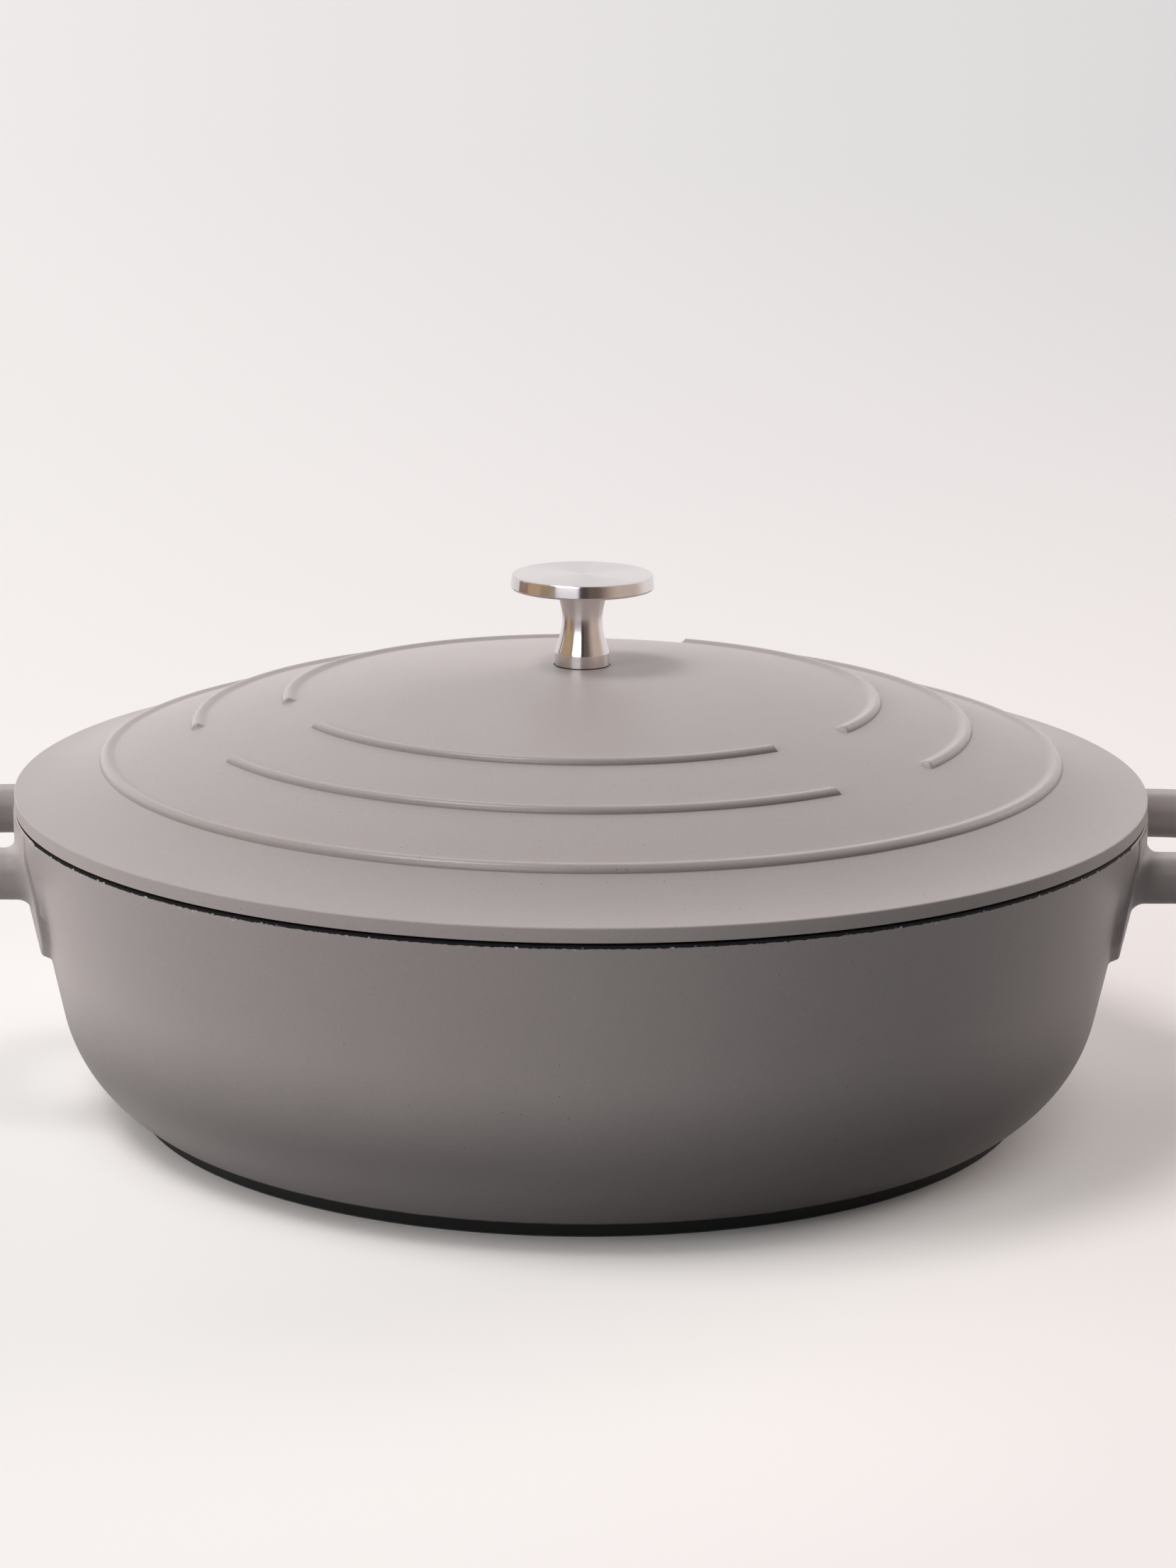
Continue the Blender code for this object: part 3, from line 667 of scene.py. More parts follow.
# %% Outline of a pad
ARM_SPACING = 0.070
ARM_WIDTH = 0.014
ARM_HEIGHT = 0.0122
ARM_DROP = 0.0132
ARM_EDGE_RADIUS = 0.0045
PAD_RISE = 0.0023
PAD_REACH = 0.1488
PAD_SIDE_MARGIN = 0.004
PAD_WAIST_HALF_WIDTH = 0.0415
PAD_WAIST_RISE = 0.0075
PAD_FOOT_HALF_WIDTH = 0.031
PAD_DEPTH = 0.0372
PAD_BEND_RADIUS = 0.008
PAD_CORNER_STEPS = 6
PAD_SPACING = 0.0016
HANDLE_HEIGHT = RIM_HEIGHT - ARM_DROP
PAD_BOTTOM = RIM_HEIGHT - PAD_DEPTH


def rounded_outline(corners, radii, count):
    """A closed outline with its corners rounded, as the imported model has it."""
    outline = []
    for i, corner in enumerate(corners):
        here = Vector(corner)
        before = (Vector(corners[i - 1]) - here).normalized()
        after = (Vector(corners[(i + 1) % len(corners)]) - here).normalized()
        half = before.angle(after) / 2
        reach = radii[i] / math.tan(half)
        centre = here + (before + after).normalized() * radii[i] / math.sin(half)
        start = here + before * reach - centre
        end = here + after * reach - centre
        outline += [centre + start.slerp(end, part / count) * radii[i] for part in range(count + 1)]
    return outline


def pad_corners(inset):
    half = ARM_SPACING / 2 + ARM_WIDTH / 2 + PAD_SIDE_MARGIN - inset
    shoulder = HANDLE_HEIGHT - ARM_HEIGHT / 2
    waist = (PAD_WAIST_HALF_WIDTH - inset, PAD_BOTTOM + PAD_WAIST_RISE + inset / 2)
    foot = (PAD_FOOT_HALF_WIDTH - inset, PAD_BOTTOM + inset)
    right = [(half, rim_edge_height), (half, shoulder), waist, foot]
    return right + [(-y, z) for y, z in reversed(right)]


half_radii = [RIM_CHAMFER, PAD_BEND_RADIUS, PAD_BEND_RADIUS, PAD_BEND_RADIUS]
pad_radii = half_radii + half_radii[::-1]
full_outline = rounded_outline(pad_corners(0), pad_radii, PAD_CORNER_STEPS)
gap_counts = []
for i, point in enumerate(full_outline):
    gap = (full_outline[(i + 1) % len(full_outline)] - point).length
    gap_counts.append(max(1, round(gap / PAD_SPACING)))


def pad_outline(inset):
    """The outline with its long sides split, always into the same number of points."""
    points = rounded_outline(pad_corners(inset), pad_radii, PAD_CORNER_STEPS)
    outline = []
    for point, following, count in zip(points, points[1:] + points[:1], gap_counts):
        outline += [point.lerp(following, part / count) for part in range(count)]
    return outline


print("Pad outline has", len(pad_outline(0)), "points")

# %% Build the pads
PAD_FILLET = 0.001
PAD_FILLET_STEPS = 4
PAD_FILLET_SHARE = 0.9
PAD_EDGE = 0.0008
PAD_EDGE_STEPS = 5
PAD_LEAN = 0.0003
PAD_ROOT = 0.0016
PAD_CAP_RINGS = 12
PAD_TOP_EDGE = 0.0005
JUST_INSIDE = 0.0001


def on_wall(y, z, rise):
    """Distance from the axis plane to the wall set out by a rise, which the rim limits."""
    radius = wall_radius(z, -rise)
    if rise > 0:
        wall = wall_radius(z)
        face_rise = min(wall_radius(z, -PAD_RISE), PAD_REACH) - wall
        radius = wall + face_rise * rise / PAD_RISE
    return math.sqrt(radius**2 - y**2)


def pad_sides():
    """Pairs of inset and rise, from inside the wall to the top of the pad's edge."""
    pairs = [(-PAD_FILLET, -PAD_ROOT), (-PAD_FILLET, -JUST_INSIDE)]
    for i in range(1, PAD_FILLET_STEPS + 1):
        turn = math.pi / 2 * i / PAD_FILLET_STEPS
        rise = PAD_FILLET * (1 - math.cos(turn)) * PAD_FILLET_SHARE
        pairs.append((-PAD_FILLET * (1 - math.sin(turn)), rise))
    for i in range(PAD_EDGE_STEPS + 1):
        turn = math.pi / 2 * i / PAD_EDGE_STEPS
        rise = PAD_RISE - PAD_EDGE * (1 - math.sin(turn))
        pairs.append((PAD_LEAN + PAD_EDGE * (1 - math.cos(turn)), rise))
    return pairs


def capped_rings(name, rings, middles):
    """A piece skinned over a stack of rings, with a single vertex closing each end."""
    bm = bmesh.new()
    rows = [[bm.verts.new(place) for place in ring] for ring in [middles[:1], *rings, middles[1:]]]
    for low, high in zip(rows, rows[1:]):
        add_ring_faces(bm, low, high)
    return mesh_object(name, bm)


def build_pad(name, side):
    sides = pad_sides()
    middle = Vector((0, (rim_edge_height + PAD_BOTTOM) / 2))
    rings = []

    def lay(points, rise):
        rings.append([(side * on_wall(y, z, rise), y, z) for y, z in points])

    back = pad_outline(sides[0][0])
    for i in range(1, PAD_CAP_RINGS):
        lay([middle.lerp(point, i / PAD_CAP_RINGS) for point in back], sides[0][1])
    for inset, rise in sides:
        lay([(y, min(z, RIM_HEIGHT - PAD_TOP_EDGE / 2)) for y, z in pad_outline(inset)], rise)
    front = pad_outline(sides[-1][0])
    for i in range(PAD_CAP_RINGS - 1, 0, -1):
        lay([middle.lerp(point, i / PAD_CAP_RINGS) for point in front], PAD_RISE)
    ends = [(side * on_wall(0, middle.y, rise), 0, middle.y) for rise in (sides[0][1], PAD_RISE)]
    return capped_rings(name, rings, ends)


pads = [build_pad("left_pad", -1), build_pad("right_pad", 1)]

# %% [markdown]
# ## Loop handles
# A handle is one bar bent into a squared loop. Its centre line is a superellipse, a curve
# between an ellipse and a rectangle, which a maker gets from a soft bend rather than from
# two sharp ones. At the pad the bar runs out in a fillet: there each ring keeps a fixed
# distance from the pad's own curved face, and grows as a quarter circle would.

# %% Path and section of a handle
HANDLE_REACH = 0.042
ARM_FILLET = 0.003
LOOP_SQUARENESS = 3.4
SECTION_CORNER_STEPS = 7
LOOP_STEPS = 72
PATH_STEPS = 400
FILLET_SHARES = (0.0, 0.06, 0.16, 0.3, 0.48, 0.7, 1.0)
ROOT_DEPTH = 0.004


def bar_section(grow):
    """Cross-section of the bar, thickened all round by grow, as (inwards, up)."""
    wide = ARM_WIDTH / 2 + grow
    high = ARM_HEIGHT / 2 + grow
    corners = [(-wide, -high), (wide, -high), (wide, high), (-wide, high)]
    return rounded_outline(corners, [ARM_EDGE_RADIUS + grow] * 4, SECTION_CORNER_STEPS)


def fillet_grow(distance):
    rest = ARM_FILLET - distance
    return ARM_FILLET - math.sqrt(max(0.0, ARM_FILLET**2 - rest**2))


def evenly_spaced(points, count):
    """The same path with its points at equal distances."""
    lengths = [0.0]
    for a, b in zip(points, points[1:]):
        lengths.append(lengths[-1] + (b - a).length)
    spaced = []
    at = 0
    for i in range(count + 1):
        target = lengths[-1] * i / count
        while at < len(points) - 2 and lengths[at + 1] < target:
            at += 1
        share = (target - lengths[at]) / (lengths[at + 1] - lengths[at])
        spaced.append(points[at].lerp(points[at + 1], share))
    return spaced


root_y = ARM_SPACING / 2
loop_start = on_wall(root_y, HANDLE_HEIGHT, PAD_RISE) + ARM_FILLET
loop_length = RIM_RADIUS + HANDLE_REACH - ARM_WIDTH / 2 - loop_start
fine_path = []
for i in range(PATH_STEPS + 1):
    turn = math.pi * i / PATH_STEPS
    x = loop_start
    if 0 < i < PATH_STEPS:
        x += loop_length * math.sin(turn) ** (2 / LOOP_SQUARENESS)
    y = root_y * math.copysign(abs(math.cos(turn)) ** (2 / LOOP_SQUARENESS), math.cos(turn))
    fine_path.append(Vector((x, y)))
loop_path = evenly_spaced(fine_path, LOOP_STEPS)
print("Handle stands out", round(1000 * (loop_start + loop_length + ARM_WIDTH / 2 - RIM_RADIUS), 1), "mm")


# %% Build the handles
def root_rings(y_sign):
    """Rings from inside the wall out to the end of the fillet, for one arm."""
    rings = []
    for distance in (-ROOT_DEPTH, *(share * ARM_FILLET for share in FILLET_SHARES)):
        ring = []
        for inwards, up in bar_section(fillet_grow(max(distance, 0.0))):
            y = y_sign * (root_y - inwards)
            z = HANDLE_HEIGHT + up
            ring.append(Vector((on_wall(y, z, PAD_RISE) + distance, y, z)))
        rings.append(ring)
    return rings


def build_loop(name, side):
    rings = root_rings(1)
    for i in range(1, LOOP_STEPS):
        ahead = (loop_path[i + 1] - loop_path[i - 1]).normalized()
        inner = Vector((ahead.y, -ahead.x))
        ring = []
        for inwards, up in bar_section(0.0):
            place = loop_path[i] + inner * inwards
            ring.append(Vector((place.x, place.y, HANDLE_HEIGHT + up)))
        rings.append(ring)
    rings += reversed(root_rings(-1))
    ends = [sum(ring, Vector((0, 0, 0))) / len(ring) for ring in (rings[0], rings[-1])]
    mirrored = [[(side * x, y, z) for x, y, z in ring] for ring in (*rings, ends)]
    return capped_rings(name, mirrored[:-1], mirrored[-1])


loops = [build_loop("left_loop", -1), build_loop("right_loop", 1)]

# %% [markdown]
# ## One casting
# On the real pot the shell, pads and handles are poured as one piece. A Boolean union does
# the same to the meshes. The Manifold solver is used because every part is a closed solid,
# and it is both quick and exact about where the surfaces meet. Afterwards the black faces
# are picked by their place: inside, rim and base.

# %% Join the pot
def apply_modifiers(obj):
    """Makes the evaluated shape the object's own mesh."""
    bpy.context.view_layer.update()
    graph = bpy.context.evaluated_depsgraph_get()
    mesh = bpy.data.meshes.new_from_object(obj.evaluated_get(graph))
    obj.modifiers.clear()
    obj.data = mesh


def combine(body, others, operation, solver):
    """Joins other solids to a body, or cuts them out of it, and removes them."""
    for other in others:
        modifier = body.modifiers.new("Combine " + other.name, "BOOLEAN")
        modifier.operation = operation
        modifier.solver = solver
        modifier.object = other
    apply_modifiers(body)
    for other in others:
        bpy.data.objects.remove(other)


def paint_pot(body):
    body.data.materials.clear()
    body.data.materials.append(pot_coating)
    body.data.materials.append(nonstick)
    for face in body.data.polygons:
        height = face.center.z
        radius = math.hypot(face.center.x, face.center.y)
        on_base = height < FOOT_CHAMFER
        on_rim = height > rim_edge_height and radius < RIM_RADIUS - WALL_THICKNESS / 2
        in_pot = radius < wall_radius(height, WALL_THICKNESS / 2) and height > recess_top + SEAT_GAP
        inside = in_pot and face.normal.z > -0.5 and height > FLOOR_THICKNESS - SEAT_GAP
        face.material_index = 1 if on_base or on_rim or inside else 0


combine(pot_body, pads + loops, "UNION", "MANIFOLD")
paint_pot(pot_body)
shade_by_angle(pot_body, 35)
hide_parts("pot_body")
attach(pot_body, "pot")
print("Pot body:", len(pot_body.data.polygons), "faces")

# %% [markdown]
# ## The lid's plain form
# The lid is a shallow dome that turns into a hollow flange and a thin edge band, with a
# skirt below that centres it in the pot. It is turned first without its raised rings.
# Rows are close together where a ring will rise, and the angles are close together where
# the broken rings end, so that the rings come out crisp with few faces elsewhere.

# %% Sizes of the lid
LID_RADIUS = 0.1485
LID_BAND = 0.0040
LID_LIP = 0.0004
LID_EDGE_RADIUS = 0.0004
LID_WALL = 0.0032
DOME_RISE = 0.0347
DOME_RADIUS = 0.350
FLANGE_WIDTH = 0.0235
FLANGE_EDGE_SLOPE = 0.1245
SKIRT_DEPTH = 0.0075
SKIRT_THICKNESS = 0.0032
SKIRT_CLEARANCE = 0.0012
SKIRT_EDGE = 0.0008
BOSS_RADIUS = 0.010
BOSS_DEPTH = 0.0035
BOSS_DRAFT = 0.0009
BOSS_EDGE = 0.0006
RING_RADIUS = LID_RADIUS - 0.0223
RING_PITCH = 0.0238
RING_WIDTH = 0.0042
RING_HEIGHT = 0.0013
RING_CREST_SHARE = 0.27
RING_COUNT = 3
FIRST_GAP = 48
GAP_COUNT = 3
GAP_ANGLE = 21
COLLAR_RADIUS = 0.00715
SCREW_RADIUS = 0.0025
BORE_RADIUS = SCREW_RADIUS + 0.0003
KNOB_SEAT_RADIUS = COLLAR_RADIUS + SEAT_GAP
LID_BOTTOM = RIM_HEIGHT + SEAT_GAP
LID_EDGE_TOP = LID_BOTTOM + LID_BAND
DOME_TOP = LID_BOTTOM + DOME_RISE


def dome_height(radius):
    return DOME_TOP - DOME_RADIUS + math.sqrt(DOME_RADIUS**2 - radius**2)


def lid_height(radius):
    """Height of the lid's outer face: a dome that runs into the flange."""
    inner = LID_RADIUS - FLANGE_WIDTH
    if radius <= inner:
        return dome_height(radius)
    rise = dome_height(inner) - LID_EDGE_TOP
    curl = (rise - FLANGE_EDGE_SLOPE * FLANGE_WIDTH) / FLANGE_WIDTH**2
    reach = LID_RADIUS - radius
    return LID_EDGE_TOP + FLANGE_EDGE_SLOPE * reach + curl * reach**2


def under_height(radius):
    reach = LID_WALL / 2
    slope = (lid_height(radius + reach) - lid_height(radius - reach)) / (2 * reach)
    return lid_height(radius) - LID_WALL * math.hypot(1, slope)


print("Lid is", round(2000 * LID_RADIUS), "mm across and", round(1000 * DOME_RISE, 1), "mm high")

# %% Rows and angles of the lid
OUTER_SHARES = (0, 0.003, 0.012, 0.026, 0.046, 0.072, 0.105, 0.145, 0.19, 0.24, 0.29)
INNER_SHARES = (0.34, 0.4, 0.47, 0.55, 0.63, 0.71, 0.79, 0.87, 0.94, 1)
PLAIN_ROW_SPACING = 0.0026
ROW_PAST_FOOT = 0.0003
PLAIN_STEPS = 480
END_STEP = 0.2
END_REACH = 1.2


def outer_radii():
    """Radii of the rows on the outer face, from the knob's seat to the edge."""
    radii = [KNOB_SEAT_RADIUS]
    for ring in reversed(range(RING_COUNT)):
        outer_foot = RING_RADIUS - ring * RING_PITCH
        plain = outer_foot - RING_WIDTH - radii[-1]
        count = max(2, round(plain / PLAIN_ROW_SPACING))
        radii += [radii[-1] + plain * i / count for i in range(1, count)]
        radii += [outer_foot - RING_WIDTH * share for share in reversed(OUTER_SHARES + INNER_SHARES)]
        radii.append(outer_foot + ROW_PAST_FOOT)
    plain = LID_RADIUS - LID_EDGE_RADIUS - radii[-1]
    count = round(plain / PLAIN_ROW_SPACING)
    return radii + [radii[-1] + plain * i / count for i in range(1, count)]


def lid_angles():
    """Even angles, with extra ones round both ends of each gap in the rings."""
    angles = {round(360 * i / PLAIN_STEPS, 4) for i in range(PLAIN_STEPS)}
    steps = round(END_REACH / END_STEP)
    for i in range(GAP_COUNT):
        centre = FIRST_GAP + 360 * i / GAP_COUNT
        for end in (centre - GAP_ANGLE / 2, centre + GAP_ANGLE / 2):
            angles -= {angle for angle in angles if abs(angle - end) < END_REACH + END_STEP / 2}
            angles |= {round(end + END_STEP * i, 4) for i in range(-steps, steps + 1)}
    return [math.radians(angle) for angle in sorted(angles)]


print("Outer face:", len(outer_radii()), "rows of", len(lid_angles()), "points")

# %% Turn the lid
UNDER_STEPS = 24
HAIR = 0.0001
knob_seat = dome_height(KNOB_SEAT_RADIUS) - SEAT_GAP
boss_bottom = dome_height(0) - LID_WALL - BOSS_DEPTH
skirt_bottom = LID_BOTTOM - SKIRT_DEPTH
skirt_out = wall_radius(skirt_bottom, WALL_THICKNESS + SKIRT_CLEARANCE)
skirt_in = skirt_out - SKIRT_THICKNESS
skirt_top = wall_radius(RIM_HEIGHT, WALL_THICKNESS + SKIRT_CLEARANCE)
edge_radius = LID_RADIUS - LID_EDGE_RADIUS

outer_rows = [(radius, lid_height(radius)) for radius in outer_radii()]
outer_rows += arc((edge_radius, lid_height(edge_radius) - LID_EDGE_RADIUS), LID_EDGE_RADIUS, 90, 0, 6)
outer_rows += [(LID_RADIUS, LID_BOTTOM + LID_LIP + HAIR), (LID_RADIUS - 2 * HAIR, LID_BOTTOM + LID_LIP)]
under_rows = [(LID_RADIUS - 3 * LID_LIP, LID_BOTTOM), (skirt_top, LID_BOTTOM)]
under_rows += arc((skirt_out - SKIRT_EDGE, skirt_bottom + SKIRT_EDGE), SKIRT_EDGE, 0, -90, 4)
under_rows += arc((skirt_in + SKIRT_EDGE, skirt_bottom + SKIRT_EDGE), SKIRT_EDGE, -90, -180, 4)
for i in range(1, UNDER_STEPS + 1):
    radius = skirt_in + (BOSS_RADIUS + BOSS_DRAFT - skirt_in) * i / UNDER_STEPS
    under_rows.append((radius, under_height(radius)))
under_rows += [(BOSS_RADIUS, boss_bottom + BOSS_EDGE), (BOSS_RADIUS - BOSS_EDGE, boss_bottom)]
under_rows.append((BORE_RADIUS, boss_bottom))
seat_rows = [(BORE_RADIUS, knob_seat), (KNOB_SEAT_RADIUS - HAIR / 2, knob_seat)]
lid_rows = seat_rows + outer_rows + under_rows
lid = turned("lid", lid_rows, lid_angles(), closed=True)

# %% [markdown]
# ## Raised rings by rule
# Three rings stand up from the lid, one whole and two broken by three gaps, a third of a
# turn apart. They could be modelled one by one, but they follow a rule: every ring has the
# same section and pitch. The section rises softly from the inside and ends in a quarter
# round. So a Geometry Nodes tree reads each vertex's radius and angle, works out how far
# across the nearest ring it lies, and lifts it by the ring's section. It also stores how
# near a point is to a ring's outer foot and to its crest, which the lid's coating reads.
# Each size is a named input, so another pattern needs only other numbers.

# %% Build the raised ring tree
FOOT_SHARE = 0.12
ROUNDING = 1e-6

tree, given, result = new_group(
    "raised_rings",
    "GeometryNodeTree",
    ["Mesh", "Outer Ring Radius", "Ring Pitch", "Ring Count", "Ring Width", "Ring Height", "Crest Share"]
    + ["Gap Angle", "First Gap", "Gap Spacing", "End Length", "Finish", "Black Coat"],
    ["Mesh"],
)
raised_rings = tree
place = put(tree, "GeometryNodeInputPosition")
radius = from_axis(place)
x, y, _ = split(place)

# Across a ring: a quarter round outside its crest, and half a wave inside it
inwards = given["Outer Ring Radius"] - radius
ring_number = maths("FLOOR", (inwards + ROUNDING) / given["Ring Pitch"])
past_foot = inwards - ring_number * given["Ring Pitch"]
across = put(tree, "ShaderNodeClamp", {"Value": past_foot / given["Ring Width"]})
past_crest = across - given["Crest Share"]
outer_share = maths("MINIMUM", past_crest, 0.0) / given["Crest Share"]
outer_round = maths("SQRT", maths("MAXIMUM", 1.0 - outer_share * outer_share, 0.0))
inner_share = maths("MAXIMUM", past_crest, 0.0) / (1.0 - given["Crest Share"])
inner_slope = (maths("COSINE", inner_share * math.pi) + 1.0) * 0.5
real_ring = maths("LESS_THAN", ring_number, given["Ring Count"] - 0.5)
real_ring *= maths("GREATER_THAN", ring_number, -0.5)

# Along a ring: the first is whole, the others stop at the gaps
turn = maths("ARCTAN2", x, y * -1.0) - maths("RADIANS", given["First Gap"])
half_spacing = maths("RADIANS", given["Gap Spacing"]) * 0.5
turn = maths("WRAP", turn, half_spacing, half_spacing * -1.0)
half_gap = maths("RADIANS", given["Gap Angle"]) * 0.5
from_end = maths("ABSOLUTE", turn) * radius - half_gap * radius
broken = step(from_end, given["End Length"] * -0.5, given["End Length"] * 0.5)
whole = maths("LESS_THAN", ring_number, 0.5)
outer_face = put(tree, "GeometryNodeInputNamedAttribute", {"Name": "outer_face"}, data_type="FLOAT")
shown = maths("MAXIMUM", whole, broken) * real_ring * outer_face

section = outer_round * inner_slope * shown
offset = put(tree, "ShaderNodeCombineXYZ", {"Z": section * given["Ring Height"]})
marked = put(tree, "GeometryNodeSetPosition", {"Geometry": given["Mesh"], "Offset": offset})
# How near a point is to a ring's outer foot, where the lid's coating paints a shade.
corner_shade_part = maths("MAXIMUM", 1.0 - past_foot / (given["Ring Width"] * FOOT_SHARE), 0.0) * shown
for mark, value in (("ring_foot_shade", corner_shade_part), ("ring_face", section)):
    inputs = {"Geometry": marked, "Name": mark, "Value": value}
    marked = put(tree, "GeometryNodeStoreNamedAttribute", inputs, data_type="FLOAT", domain="POINT")
real = put(tree, "GeometryNodeRealizeInstances", {0: marked})
black = put(tree, "GeometryNodeSetMaterial", {"Geometry": real, "Material": given["Black Coat"]})
coated = put(tree, "GeometryNodeInputNamedAttribute", {"Name": "coated"}, data_type="BOOLEAN")
inputs = {"Geometry": black, "Selection": coated, "Material": given["Finish"]}
fill(result["Mesh"], put(tree, "GeometryNodeSetMaterial", inputs))
print("Tree", tree.name, "has", len(tree.nodes), "nodes")

# %% Raise the rings
END_LENGTH = 0.0011


def grow(obj, tree, sizes):
    """Runs a Geometry Nodes tree on an object and keeps the result as its mesh."""
    modifier = obj.modifiers.new(tree.name, "NODES")
    modifier.node_group = tree
    for item in tree.interface.items_tree:
        if item.item_type == "SOCKET" and item.in_out == "INPUT" and item.name in sizes:
            modifier[item.identifier] = sizes[item.name]
    apply_modifiers(obj)


def mark_outer_face(obj, rows, first, last):
    """Marks the vertices of some profile rows, and the faces between them."""
    per_row = len(obj.data.vertices) // rows
    marks = obj.data.attributes.new("outer_face", "FLOAT", "POINT")
    for i in range(first * per_row, last * per_row):
        marks.data[i].value = 1.0
    coated = obj.data.attributes.new("coated", "BOOLEAN", "FACE")
    for face in obj.data.polygons:
        numbers = [number // per_row for number in face.vertices]
        coated.data[face.index].value = first <= min(numbers) and max(numbers) < last


mark_outer_face(lid, len(lid_rows), len(seat_rows), len(seat_rows) + len(outer_rows))
ring_sizes = {
    "Outer Ring Radius": RING_RADIUS,
    "Ring Pitch": RING_PITCH,
    "Ring Count": RING_COUNT,
    "Ring Width": RING_WIDTH,
    "Ring Height": RING_HEIGHT,
    "Crest Share": RING_CREST_SHARE,
    "Gap Angle": GAP_ANGLE,
    "First Gap": FIRST_GAP,
    "Gap Spacing": 360 / GAP_COUNT,
    "End Length": END_LENGTH,
}
grow(lid, raised_rings, {**ring_sizes, "Finish": lid_coating, "Black Coat": nonstick})
shade_by_angle(lid, 40)
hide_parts("lid")
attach(lid, "lid_assembly")
lid_top = max(vertex.co.z for vertex in lid.data.vertices)
print("Lid:", len(lid.data.polygons), "faces, top at", round(1000 * lid_top, 2), "mm")

# %% [markdown]
# ## The knob
# The knob is turned from solid steel: a thin flat disc, a waisted stem that spreads like a
# hyperbola, and a short collar. The stem's curve comes from the same formula as in the
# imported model, with more rows and a softer waist, and each corner gets a small edge that
# can catch the light.

# %% Turn the knob
KNOB_HEIGHT = 0.0242
DISC_RADIUS = 0.0189
DISC_THICKNESS = 0.0036
DISC_FLARE = 0.0003
DISC_EDGE_RADIUS = 0.0005
WAIST_RADIUS = 0.0053
WAIST_HEIGHT = 0.0121
WAIST_SPREAD = 0.00216
WAIST_LENGTH = 0.0055
STEM_ROOT = 0.0008
STEM_STEPS = 40
COLLAR_HEIGHT = 0.0036
COLLAR_CHAMFER = 0.0002
SCREW_GRIP = 0.0085
knob_foot = dome_height(KNOB_SEAT_RADIUS)


def stem_radius(height):
    away = (height - WAIST_HEIGHT) / WAIST_LENGTH
    return WAIST_RADIUS + WAIST_SPREAD * (math.hypot(1, away) - 1)


disc_under = KNOB_HEIGHT - DISC_THICKNESS
stem_top = disc_under - DISC_EDGE_RADIUS / 2
edge_middle = (DISC_RADIUS - DISC_FLARE - DISC_EDGE_RADIUS, KNOB_HEIGHT - DISC_EDGE_RADIUS)
under_edge = (DISC_RADIUS - DISC_EDGE_RADIUS * 0.5, disc_under)
under_stem = (stem_radius(disc_under) + STEM_ROOT, disc_under)
knob_profile = [(0, KNOB_HEIGHT)]
knob_profile += between((0, KNOB_HEIGHT), (edge_middle[0], KNOB_HEIGHT), 12)
knob_profile += arc(edge_middle, DISC_EDGE_RADIUS, 90, 4, 8)
knob_profile.append((DISC_RADIUS, disc_under + DISC_EDGE_RADIUS))
knob_profile.append((DISC_RADIUS - DISC_EDGE_RADIUS * 0.15, disc_under + DISC_EDGE_RADIUS * 0.6))
knob_profile += [under_edge, *between(under_edge, under_stem, 8), under_stem]
knob_profile.append((stem_radius(disc_under) + STEM_ROOT / 4, disc_under - HAIR))
for i in range(STEM_STEPS + 1):
    height = stem_top + (COLLAR_HEIGHT - stem_top) * i / STEM_STEPS
    knob_profile.append((min(stem_radius(height), COLLAR_RADIUS - COLLAR_CHAMFER / 2), height))
knob_profile += [(COLLAR_RADIUS, COLLAR_HEIGHT - COLLAR_CHAMFER), (COLLAR_RADIUS, COLLAR_CHAMFER)]
knob_profile += [(COLLAR_RADIUS - COLLAR_CHAMFER, 0), (BORE_RADIUS, 0), (BORE_RADIUS, SCREW_GRIP + SEAT_GAP)]
knob_profile.append((0, SCREW_GRIP + SEAT_GAP + BORE_RADIUS / 2))
knob = turned("knob", [(r, z + knob_foot) for r, z in knob_profile], even_angles(160))
knob.data.materials.append(knob_steel)
shade_by_angle(knob, 13)
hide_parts("knob")
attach(knob, "lid_assembly")

# %% [markdown]
# ## Screw and lock washer
# A pan head screw comes up through the lid into the knob. Its head shows when the lid is
# turned over, so it gets a cross recess with tapered wings, cut by a Boolean. The lock
# washer is a split spring washer: one turn of square wire whose ends stand a little apart,
# which is a path with a section, so Geometry Nodes sweep it along a spiral.

# %% Turn and cut the screw
HEAD_RADIUS = 0.0048
HEAD_HEIGHT = 0.0031
HEAD_EDGE = 0.0002
HEAD_STEPS = 12
WASHER_RADIUS = 0.0046
WASHER_THICKNESS = 0.0012
RECESS_WIDTH = 0.0011
RECESS_LENGTH = 0.0048
RECESS_DEPTH = 0.0016
RECESS_TAPER = 0.7
SCREW_CHAMFER = 0.0006
washer_top = boss_bottom - SEAT_GAP
head_top = boss_bottom - WASHER_THICKNESS - 2 * SEAT_GAP
screw_tip = knob_foot + SCREW_GRIP
screw_profile = [(0, screw_tip), (SCREW_RADIUS - SCREW_CHAMFER, screw_tip)]
screw_profile += [(SCREW_RADIUS, screw_tip - SCREW_CHAMFER), (SCREW_RADIUS, head_top)]
screw_profile.append((HEAD_RADIUS - HEAD_EDGE, head_top))
for i in range(HEAD_STEPS + 1):
    turn = math.pi / 2 * i / HEAD_STEPS
    radius = HEAD_RADIUS * (1 + math.cos(turn)) / 2
    screw_profile.append((radius, head_top - HEAD_HEIGHT * (1 + math.sin(turn)) / 2))
screw_profile.append((0, head_top - HEAD_HEIGHT))
screw = turned("knob_screw", screw_profile, even_angles(64))


